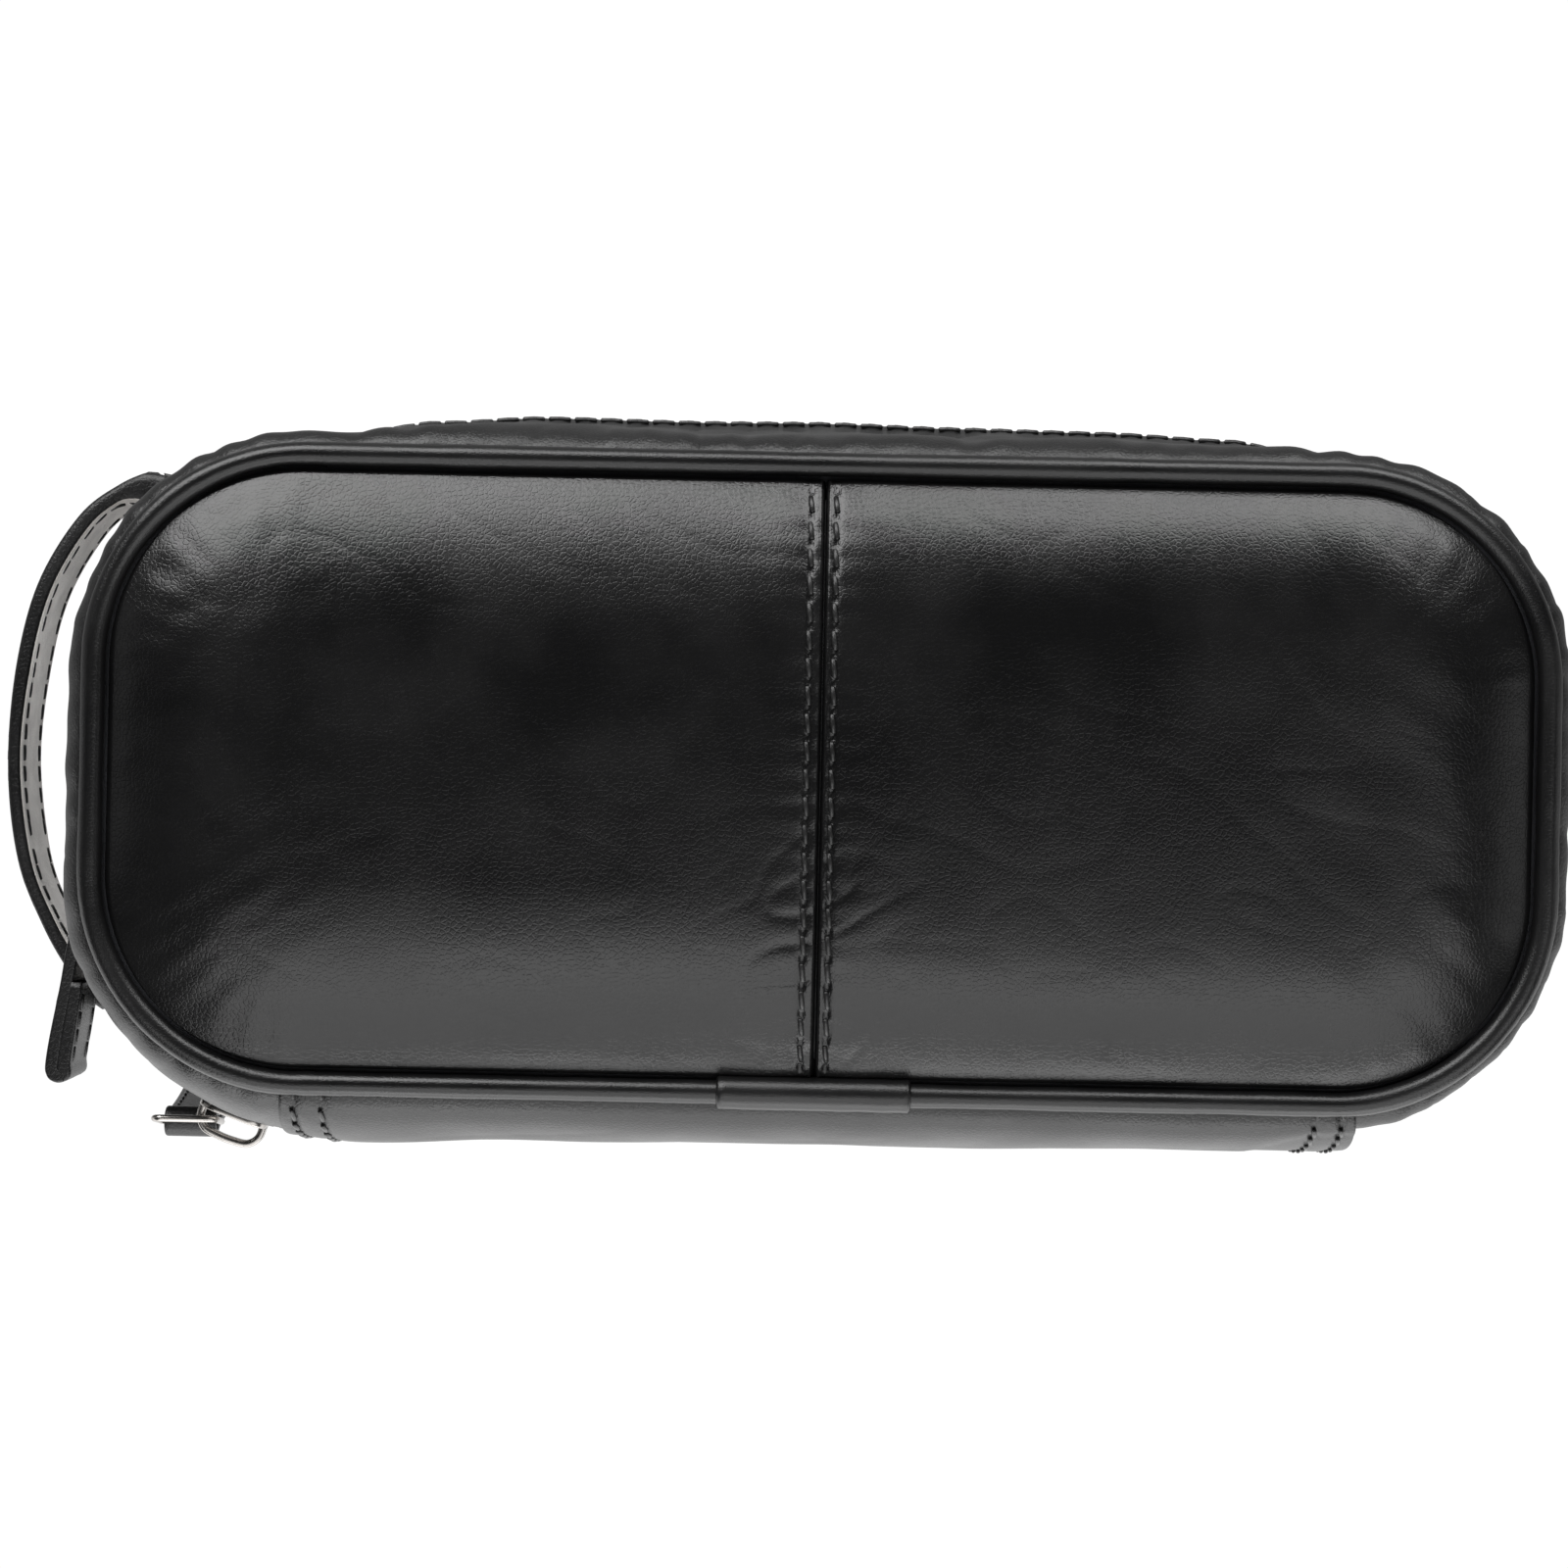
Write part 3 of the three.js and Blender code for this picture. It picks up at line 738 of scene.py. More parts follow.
def stamped(template: bmesh.types.BMesh, places: Iterable[Matrix]) -> bmesh.types.BMesh:
    """Repeats a small mesh at many places.

    Args:
        template: The mesh at the origin. It is used up.
        places: A turn and a place for each copy.

    Returns:
        All the copies in one mesh.
    """
    stamp = bpy.data.meshes.new("stamp")
    template.to_mesh(stamp)
    template.free()
    bm = bmesh.new()
    last = Matrix.Identity(4)
    for place in places:
        stamp.transform(place @ last.inverted())
        bm.from_mesh(stamp)
        last = place
    bpy.data.meshes.remove(stamp)
    return bm


def axes(x: Vector, y: Vector, z: Vector, at: Vector) -> Matrix:
    """A frame with the given axes at a place."""
    return Matrix(((x.x, y.x, z.x, at.x), (x.y, y.y, z.y, at.y), (x.z, y.z, z.z, at.z), (0, 0, 0, 1)))


def placed(bm: bmesh.types.BMesh, change: Matrix) -> bmesh.types.BMesh:
    """Moves a whole mesh by a matrix and returns it."""
    bmesh.ops.transform(bm, matrix=change, verts=bm.verts)
    return bm


def emboss(bm: bmesh.types.BMesh, height: Callable[[Vector], float]) -> bmesh.types.BMesh:
    """Moves each vertex along its normal by a height that depends on its place, and returns the mesh."""
    bm.normal_update()
    moved = [(v, v.co + v.normal * height(v.co)) for v in bm.verts]
    for v, co in moved:
        v.co = co
    return bm


def near(distance: float, width: float) -> float:
    """A soft bump that is 1 at no distance and fades out over a width."""
    return math.exp(-((distance / width) ** 2))


def ramp(value: float, start: float, end: float) -> float:
    """Rises smoothly from 0 at start to 1 at end."""
    share = min(max((value - start) / (end - start), 0.0), 1.0)
    return share * share * (3 - 2 * share)


@dataclass(frozen=True)
class Wrinkles:
    """Wrinkles of one size and direction. size is their spacing, and stretch how much longer they run."""

    size: float
    depth: float
    seed: float
    turn: float = 0.0
    stretch: float = 1.0
    sharp: float = 1.0

    def at(self, u: float, v: float) -> float:
        """The height at a place on the surface. Sharp ones are furrows, soft ones waves."""
        cos, sin = math.cos(self.turn), math.sin(self.turn)
        along, across = (u * cos + v * sin) / self.stretch, v * cos - u * sin
        value = noise.noise(Vector((along / self.size, across / self.size, self.seed)))
        if self.sharp <= 1:
            return self.depth * value
        return -self.depth * (1 - min(1.0, abs(value) * 2)) ** self.sharp


# ---------------------------------------------------------------- the bench


@dataclass(frozen=True)
class Bend:
    """A joint that a piece crosses: the body on each side, and the points start and end between them."""

    first: str
    second: str
    start: Vector
    end: Vector


def across_hinge(form: BagForm, reach: float) -> Bend:
    """The joint at the hinge from the base to the lid, with points some distance on each side of the zip."""
    middle = Vector((0, form.centre.y - form.core_y - form.bulge_r, form.zip_z))
    return Bend("base", "lid", middle - reach * UP, middle + reach * UP)


def in_scene(name: str, data: bpy.types.ID) -> bpy.types.Object:
    """Makes an object of some data and adds it to the scene."""
    made = bpy.data.objects.new(name, data)
    bpy.context.scene.collection.objects.link(made)
    return made


@dataclass
class Bench:
    """Turns meshes into pieces of the model, each with its finish and body."""

    materials: dict[str, bpy.types.Material] = field(default_factory=dict)

    def dressed(self, finish: Finish) -> bpy.types.Material:
        """The material of a finish, made when it is first asked for."""
        if finish.name not in self.materials:
            self.materials[finish.name] = finish.material()
        return self.materials[finish.name]

    def piece(self, name: str, bm: bmesh.types.BMesh, finishes: Finish | Sequence[Finish],
              body: str | Bend, stands_for: Sequence[str] = ()) -> bpy.types.Object:
        """Makes a mesh a finished piece.

        Args:
            name: The piece's name.
            bm: Its mesh, in the frame. It is used up.
            finishes: Its finish, or one for each material number in the mesh.
            body: The body that it rides on, or the joint that it crosses, in which case it rides on no body.
            stands_for: The frame's nodes that it replaces.

        Returns:
            The piece.
        """
        mesh = bpy.data.meshes.new(name)
        bm.to_mesh(mesh)
        bm.free()
        mesh.shade_smooth()
        several = [finishes] if isinstance(finishes, Finish) else list(finishes)
        for finish in several:
            mesh.materials.append(self.dressed(finish))
        made = in_scene(name, mesh)
        if isinstance(body, Bend):
            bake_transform(made)
        else:
            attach(made, body)
        if stands_for:
            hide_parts(*stands_for)
        where = f"{body.first} to {body.second}" if isinstance(body, Bend) else body
        LOG.info("%s: %d faces on %s", name, len(mesh.polygons), where)
        return made

    def dress_node(self, node: str, finish: Finish) -> None:
        """Gives a node of the frame a finish."""
        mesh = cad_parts[node].data
        mesh.materials.clear()
        mesh.materials.append(self.dressed(finish))
        LOG.info("%s dressed as %s", node, finish.name)


@dataclass(frozen=True)
class Thread:
    """Sewing thread. Each stitch is a short bar with round ends that dip into the leather."""

    pitch: float = 0.0047
    length: float = 0.0039
    width: float = 0.00085
    slant: float = 0.12

    def row(self, places: Iterable[tuple[Vector, Vector, Vector]]) -> bmesh.types.BMesh:
        """Sews a row.

        Args:
            places: The middle, the direction and the outward direction of each stitch.

        Returns:
            All its stitches in one mesh.
        """
        stitch = bmesh.new()
        bmesh.ops.create_uvsphere(
            stitch, u_segments=8, v_segments=6, radius=self.width / 2, matrix=Matrix.Rotation(QUARTER, 4, "Y")
        )
        for v in stitch.verts:
            if abs(v.co.x) > 0.05 * self.width:
                v.co.x += math.copysign((self.length - self.width) / 2, v.co.x)
        frames = []
        for at, along, out in places:
            along = along.normalized()
            across = out.cross(along).normalized()
            turned = (along + across * self.slant).normalized()
            across = out.cross(turned).normalized()
            frames.append(axes(turned, across, turned.cross(across), at))
        return stamped(stitch, frames)


# ---------------------------------------------------------------- panels


@dataclass(frozen=True)
class Panel:
    """A front or back panel: two halves of leather joined by a topstitched seam down the middle."""

    form: BagForm
    side: Side
    crown: float
    spacing: float
    thickness: float = 0.0013
    edge_gap: float = 0.00275
    seam_gap: float = 0.0002
    insets: tuple[float, float] = (0.0023, 0.0018)
    dive: float = 0.0018
    thread: Thread = Thread(length=0.0034, width=0.00095)

    @property
    def radius(self) -> float:
        """How far the panel reaches from the core rectangle."""
        return self.form.piping_r - self.edge_gap

    def height(self, x: float, y: float) -> float:
        """The smooth crown above the panel's edge, at a place measured from the panel's middle."""
        share = min(math.hypot(*self.form.beyond(x, y)) / self.radius, 1.0)
        fullness = 2.2 + 0.8 * ramp(x, -0.03, 0.03)
        shoulder = 0.86 * self.crown * (1 - share ** fullness)
        lengthwise = 1 - (x / (self.form.core_x + self.radius)) ** 2
        across = 1 - (y / (self.form.core_y + self.radius)) ** 2
        return shoulder + 0.3 * self.crown * lengthwise * across

    def inset(self, x: float) -> float:
        """How far the stitch row on one side stands from the seam."""
        return self.insets[0] if x < 0 else self.insets[1]

    def seam_relief(self, x: float, y: float) -> float:
        """The turned-in lip, the stitched line with its holes, and the fullness beside it."""
        off = abs(x) - self.seam_gap / 2
        row = off - self.inset(x)
        beat = math.cos(2 * math.pi * y / self.thread.pitch)
        hole = abs(y / self.thread.pitch % 1 - 0.5) * self.thread.pitch
        lip = -1.0 * MM * near(off, 0.36 * MM)
        sewn = -0.2 * MM * near(row, 0.8 * MM) - 0.5 * MM * near(row, 0.5 * MM) * near(hole, 0.6 * MM)
        puff = 0.2 * MM * near(off - 6.5 * MM, 4.5 * MM)
        drawn = 0.08 * MM * beat * math.exp(-max(row, 0) / (3.0 * MM))
        return lip + sewn + puff - drawn

    def relief(self, x: float, y: float) -> float:
        """Wrinkles, creases and the soft unevenness of the leather."""
        half_x = self.form.core_x + self.radius
        half_y = self.form.core_y + self.radius
        soft = Wrinkles(0.042, 0.4 * MM, 2.3).at(x, y) + Wrinkles(0.017, 0.06 * MM, 5.1).at(x, y)
        left = ramp(-x, 0.55 * half_x, 0.86 * half_x)
        right = ramp(x, 0.6 * half_x, 0.88 * half_x)
        seam = near(abs(x), 0.013)
        ripples = Wrinkles(0.0042, 0.13 * MM, 7.7, turn=0.5, stretch=3.2).at(x, y) * left
        diagonal = Wrinkles(0.0065, 0.2 * MM, 9.4, turn=-0.75, stretch=3.4).at(x, y) * right
        lower = ramp(-y, -0.2 * half_y, 0.5 * half_y)
        creases = Wrinkles(0.006, 0.22 * MM, 3.9, turn=0.4, stretch=2.6, sharp=3).at(x, y)
        everywhere = Wrinkles(0.011, 0.05 * MM, 8.2, turn=-0.4, stretch=2.2, sharp=4).at(x, y)
        core = self.form.beyond(x, y)
        reach = math.hypot(*core) / self.radius
        angle = math.atan2(core[1], core[0])
        puckers = 0.05 * MM * math.sin(angle * 30 + 3 * noise.noise(Vector((x * 60, y * 60, 1))))
        gathered = puckers * ramp(reach, 0.45, 0.95) * (core[0] > 0 and core[1] > 0)
        return soft + ripples + diagonal + creases * seam * lower + everywhere + gathered

    def surface(self, x: float, y: float) -> Vector:
        """The point of the outer face at a place measured from the panel's middle."""
        sign = self.side.value
        lift = self.height(x, y) + self.relief(x, y) * self.edge_fade(x, y) + self.seam_relief(x, y)
        base = self.form.piping_z(self.side) + sign * (self.form.tube - self.dive)
        return self.form.centre + Vector((x, y, base + sign * lift))

    def edge_fade(self, x: float, y: float) -> float:
        """1 inside the panel, fading to 0 at its sewn edge."""
        return 1 - ramp(math.hypot(*self.form.beyond(x, y)) / self.radius, 0.86, 1.0)

    def half(self, way: int) -> bmesh.types.BMesh:
        """Makes one half of the leather.

        Args:
            way: 1 for the half at +X of the seam, -1 for the other.

        Returns:
            The half, with its thickness.
        """
        form, radius = self.form, self.radius
        half_x, half_y = form.core_x + radius, form.core_y + radius
        start = self.seam_gap / 2
        bm = bmesh.new()
        counts = (round((half_x - start) / self.spacing), round(2 * half_y / self.spacing))
        bmesh.ops.create_grid(bm, x_segments=counts[0], y_segments=counts[1], size=1)
        for v in bm.verts:
            across = (v.co.x + 1) / 2
            x = start + across * (0.4 + 0.6 * across) * (half_x - start)
            x, y = form.rounded(x, v.co.y * half_y, radius)
            v.co = self.surface(way * x, y)
        return self.walled(bm, self.thickness)

    def walled(self, bm: bmesh.types.BMesh, thickness: float) -> bmesh.types.BMesh:
        """Turns a layer's faces outward, gives it its thickness inward and returns it."""
        bmesh.ops.recalc_face_normals(bm, faces=bm.faces)
        some = max(bm.faces, key=lambda f: f.calc_area())
        some.normal_update()
        if some.normal.z * self.side.value < 0:
            bmesh.ops.reverse_faces(bm, faces=bm.faces)
        bmesh.ops.solidify(bm, geom=list(bm.faces), thickness=thickness)
        return bm

    def backing(self, half_x: float, share: float, depth: float, thickness: float) -> bmesh.types.BMesh:
        """Makes a layer behind the leather that follows its crown.

        Args:
            half_x: Half of its length.
            share: How much of the panel's rim it reaches across.
            depth: How far it lies below the leather's outer face.
            thickness: Its thickness.

        Returns:
            The layer.
        """
        form, radius = self.form, self.radius * share
        base = form.piping_z(self.side) + self.side.value * (form.tube - self.dive)
        bm = bmesh.new()
        bmesh.ops.create_grid(bm, x_segments=max(4, round(half_x / MM)), y_segments=60, size=1)
        for v in bm.verts:
            x, y = form.rounded(v.co.x * half_x, v.co.y * (form.core_y + radius), radius)
            v.co = form.centre + Vector((x, y, base + self.side.value * (self.height(x, y) - depth)))
        return self.walled(bm, thickness)

    def seam_stitches(self, way: int) -> bmesh.types.BMesh:
        """Sews the row of stitches on one side of the seam."""
        reach = self.form.core_y + self.radius - 3 * MM
        count = int(reach / self.thread.pitch)
        x = way * (self.seam_gap / 2 + self.inset(way))
        places = []
        for k in range(-count, count + 1):
            y = k * self.thread.pitch
            lower, upper = (self.surface(x, y + d) for d in (-1 * MM, 1 * MM))
            side = self.surface(x + 1 * MM, y) - self.surface(x - 1 * MM, y)
            out = side.cross(upper - lower) * self.side.value
            raised = self.surface(x, y)
            raised.z += self.side.value * 0.16 * MM
            places.append((raised, upper - lower, out.normalized()))
        return self.thread.row(places)

    def build(self, bench: Bench) -> None:
        """Makes both halves and their stitches."""
        face = self.side.face
        for way, word in ((-1, "left"), (1, "right")):
            leather = bench.piece(
                f"{face}_leather_{word}", self.half(way), PANEL, self.side.body,
                [f"{face}_panel_{word}"],
            )
            bench.piece(f"{face}_seam_stitches_{word}", self.seam_stitches(way), THREAD, self.side.body)
        tape = self.backing(6 * MM, 0.9, self.thickness + 0.1 * MM, 0.5 * MM)
        bench.piece(f"{face}_seam_backing", tape, TAPE, self.side.body, [f"{face}_seam_tape"])
        if self.side is Side.LID:
            share = 0.84
            half_x = self.form.core_x + share * self.radius
            pad = self.backing(half_x, share, self.thickness + 0.8 * MM, 1.2 * MM)
            bench.piece("front_foam", pad, FOAM, "lid", ["front_padding"])


# ---------------------------------------------------------------- piping and gusset


@dataclass(frozen=True)
class Piping:
    """The leather-covered cord round a panel, with the sleeve that hides where its ends meet."""

    form: BagForm
    side: Side
    sides: int = 18
    cord_r: float = 0.0023
    sleeve_r: float = 0.0029

    def cord(self) -> bmesh.types.BMesh:
        """Makes the covered cord, a little uneven as a hand-turned one is."""
        r, z = self.form.piping_r, self.form.piping_z(self.side)
        turn = 2 * math.pi / self.sides
        section = [Vector((r, z)) + self.form.tube * Vector((math.cos(k * turn), math.sin(k * turn)))
                   for k in range(self.sides)]
        bm = self.form.ring(section, 1.6 * MM)

        def unevenness(at: Vector) -> float:
            """The cord's fullness, and the fine cross wrinkles of the leather drawn round it."""
            s, _ = self.form.locate(at)
            full = noise.noise(Vector((s * 70, 0, 1.5 * self.side.value)))
            cross = noise.noise(Vector((s * 420, at.z * 90, 4.0)))
            return 0.13 * MM * full + 0.07 * MM * cross

        return emboss(bm, unevenness)

    def sleeve(self) -> bmesh.types.BMesh:
        """Makes the short wrap of leather round the cord where its ends meet."""
        low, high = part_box(f"{self.side.face}_piping_sleeve")
        middle = Vector((0, self.form.centre.y - self.form.core_y - self.form.piping_r,
                         self.form.piping_z(self.side)))
        turn = 2 * math.pi / 24
        steps = [low.x, low.x + 0.3 * MM, *(low.x + (high.x - low.x) * k / 22 for k in range(1, 22)),
                 high.x - 0.3 * MM, high.x]
        r = self.cord_r
        sweep = Sweep([middle + Vector((steps[0], r * math.cos(k * turn), r * math.sin(k * turn)))
                       for k in range(24)])
        path = [Vector((x, 0, 0)) for x in steps]
        for before, after in zip(path, path[1:]):
            sweep.carry(Matrix.Translation(after - before))
        bm = sweep.capped()

        def wrap(at: Vector) -> float:
            """Full in the middle and square at the ends, with soft cross wrinkles."""
            inside = min(at.x - low.x, high.x - at.x)
            full = (self.sleeve_r - r) * ramp(inside, -0.2 * MM, 0.35 * MM)
            return full + 0.16 * MM * noise.noise(Vector((at.x * 260, at.y * 120, at.z * 120)))

        return emboss(bm, wrap)

    def build(self, bench: Bench) -> None:
        """Makes the cord and its sleeve."""
        face = self.side.face
        bench.piece(f"{face}_piping_cord", self.cord(), BOUND, self.side.body, [f"{face}_piping"])
        bench.piece(f"{face}_piping_wrap", self.sleeve(), BOUND, self.side.body, [f"{face}_piping_sleeve"])


@dataclass(frozen=True)
class Gusset:
    """One half's side wall, from the piping to the folded and stitched edge beside the zip."""

    form: BagForm
    side: Side
    zip_gap: float = 0.012
    leather: float = 0.0018
    fold: float = 0.0027
    fold_length: float = 0.009
    stitch_inset: float = 0.0034
    thread: Thread = Thread(length=0.0041, width=0.0010)
    pitch: float = 0.00094
    lap: float = 0.006
    flare: float = 0.0013

    @property
    def edge_z(self) -> float:
        """The height of the folded edge."""
        return self.form.zip_z + self.side.value * self.zip_gap / 2

    @property
    def gap(self) -> float:
        """Half of the stretch that the hinge piece covers."""
        return self.form.core_x - self.lap

    def relief(self, at: Vector) -> float:
        """The wrinkles, the gathers by the piping and the scallops of the stitched edge."""
        s, _ = self.form.locate(at)
        up = (at.z - self.edge_z) * self.side.value
        beat = math.cos(2 * math.pi * s / self.thread.pitch)
        top = self.form.perimeter / 2
        loose = 0.45 + 0.55 * near(s - top, 0.13)
        sewn = -0.55 * MM * near(up - self.stitch_inset, 1.15 * MM) * (1 + 0.45 * beat)
        scallop = -0.3 * MM * beat * near(up, 2.2 * MM)
        inside = ramp(up, 2 * MM, 9 * MM)
        flare = self.flare * near(s - top, 0.11) * (1 - ramp(up, 2 * MM, 7 * MM))
        broad = Wrinkles(0.026, 1.0 * MM, 1.2 + self.side.value, turn=QUARTER, stretch=1.6).at(s, up)
        folds = Wrinkles(0.009, 0.75 * MM, 6.6 + self.side.value, turn=1.1, stretch=3.0).at(s, up)
        furrows = Wrinkles(0.012, 0.5 * MM, 2.2, turn=1.35, stretch=3.4, sharp=3).at(s, up)
        gathers = 0.22 * MM * math.sin(s / (1.35 * MM) + 4 * noise.noise(Vector((s * 40, 2, 2))))
        by_piping = ramp(up, 24 * MM, 34 * MM)
        return (sewn + scallop + flare + inside * loose * (broad + folds + furrows)
                + gathers * by_piping * loose)

    def wall(self) -> bmesh.types.BMesh:
        """Makes the leather of the wall."""
        line = self.form.side_line(self.side, self.edge_z, self.leather / 2)
        total = sum((b - a).length for a, b in zip(line, line[1:]))
        gone = [0.0]
        for a, b in zip(line, line[1:]):
            gone.append(gone[-1] + (b - a).length)
        last = len(line) - 1

        def half(share: float) -> float:
            """Half of the thickness, full where the edge is folded."""
            left = total - gone[round(share * last)]
            folded = 1 - ramp(left, 5 * MM, self.fold_length)
            return (self.leather + (self.fold - self.leather) * folded) / 2

        bm = self.form.ring(thickened(line, half), self.pitch, self.gap)
        return self.form.settled(emboss(bm, self.outer_only))

    def outer_only(self, at: Vector) -> float:
        """The relief on the outer face, and none on the hidden inner one."""
        _, r = self.form.locate(at)
        up = abs(at.z - self.edge_z)
        middle = self.form.bulge_r - self.leather * 0.62
        outside = ramp(r, middle - 0.4 * MM, middle + 0.3 * MM) if up < 12 * MM else 1.0
        return self.relief(at) * outside if outside else 0.0

    def stitches(self) -> bmesh.types.BMesh:
        """Sews the row that holds the folded edge to the zip."""
        z = self.edge_z + self.side.value * self.stitch_inset
        first = math.ceil(self.gap / self.thread.pitch) + 1
        count = int((self.form.perimeter - self.gap) / self.thread.pitch) - 1
        places = []
        for k in range(first, count):
            s = (k + 0.5) * self.thread.pitch
            _, out = self.form.walk(s)
            flared = self.flare * near(s - self.form.perimeter / 2, 0.11) * 0.8
            at = self.form.spot(s, self.form.bulge_r + 0.02 * MM + flared, z)
            places.append((at, Vector((-out.y, out.x, 0)), out))
        return self.form.settled(self.thread.row(places))

    def build(self, bench: Bench) -> None:
        """Makes the wall and its stitching."""
        word = self.side.body
        bench.piece(f"{word}_side_wall", self.wall(), GUSSET, word, [f"{word}_gusset"])
        bench.piece(f"{word}_edge_stitches", self.stitches(), THREAD, word)


@dataclass(frozen=True)
class Spine:
    """The plain hinge piece: one sheet from piping to piping that laps over both ends of the side walls."""

    form: BagForm
    laps_deg: tuple[float, float] = (4.3, 6.6)
    proud: float = 0.0010
    thickness: float = 0.0019
    give: float = 0.0012
    thread: Thread = Thread(pitch=0.0043, length=0.0035, width=0.0009)
    rows: tuple[float, float] = (0.0028, 0.0078)

    def line(self) -> list[Vector]:
        """The sheet's middle line from the back piping to the front one."""
        depth = self.thickness / 2 - self.proud
        lower = self.form.side_line(Side.BASE, self.form.zip_z, depth)
        upper = self.form.side_line(Side.LID, self.form.zip_z, depth)
        return [*lower, *reversed(upper[:-1])]

    def reach(self, s: float) -> float:
        """How far it goes from the hinge's middle towards one side, measured where the side bulges most."""
        lap = self.laps_deg[0] if s < 0 else self.laps_deg[1]
        return self.form.core_x + math.radians(lap) * self.form.bulge_r

    def place(self, at: Vector) -> tuple[float, float]:
        """The signed distance along the sheet from its middle, and the distance out."""
        s, r = self.form.locate(at)
        s = s % self.form.perimeter
        return (s - self.form.perimeter if s > self.form.perimeter / 2 else s), r

    def relief(self, at: Vector) -> float:
        """The dips under the end stitches, the raised ends and soft broad waves."""
        s, _ = self.place(at)
        inside = self.reach(s) - abs(s)
        beat = math.cos(2 * math.pi * (at.z - self.form.zip_z) / self.thread.pitch)
        sewn = sum(-0.4 * MM * near(inside - row, 0.9 * MM) * (1 + 0.4 * beat) for row in self.rows)
        fold = Wrinkles(0.03, 0.5 * MM, 4.4).at(s, at.z) + Wrinkles(0.012, 0.14 * MM, 1.4).at(s, at.z)
        creases = Wrinkles(0.014, 0.18 * MM, 5.5, stretch=4.0, sharp=4).at(s, at.z)
        return sewn + (fold + creases) * ramp(inside, 0, 0.03)

    def sheet(self) -> bmesh.types.BMesh:
        """Makes the sheet."""
        form = self.form
        section = thickened(self.line(), lambda share: self.thickness / 2)
        first, last = (math.radians(deg) for deg in self.laps_deg)
        left = form.centre + Vector((-form.core_x, -form.core_y, 0))
        right = form.centre + Vector((form.core_x, -form.core_y, 0))
        turned = Matrix.Rotation(-first, 3, "Z")
        start = [left + turned @ Vector((0, -p.x, 0)) + UP * p.y for p in section]
        sweep = Sweep(start)
        sweep.turn(left, UP, first, 5)
        sweep.run(Vector((2 * form.core_x, 0, 0)), round(2 * form.core_x / MM))
        sweep.turn(right, UP, last, 8)
        return self.form.settled(emboss(sweep.capped(), self.relief), self.give)

    def stitches(self) -> bmesh.types.BMesh:
        """Sews the two cross rows at each end."""
        places = []
        points = self.line()
        gone = 0.0
        for a, b in zip(points, points[1:]):
            gone += (b - a).length
            if gone < self.thread.pitch:
                continue
            gone = 0.0
            along = (b - a).normalized()
            for way in (-1, 1):
                for row in self.rows:
                    s = way * (self.reach(way) - row)
                    _, out = self.form.walk(s)
                    normal = Vector((out.x * along.y, out.y * along.y, -along.x))
                    at = self.form.spot(s, b.x, b.y) + normal * (self.thickness / 2 - 0.05 * MM)
                    places.append((at, out * along.x + UP * along.y, normal))
        return self.form.settled(self.thread.row(places), self.give)

    def build(self, bench: Bench) -> None:
        """Makes the sheet and its stitching."""
        bend = across_hinge(self.form, 7 * MM)
        bench.piece("hinge_leather", self.sheet(), GUSSET, bend, ["base_spine", "lid_spine"])
        bench.piece("hinge_stitches", self.stitches(), THREAD, bend)


# ---------------------------------------------------------------- zip


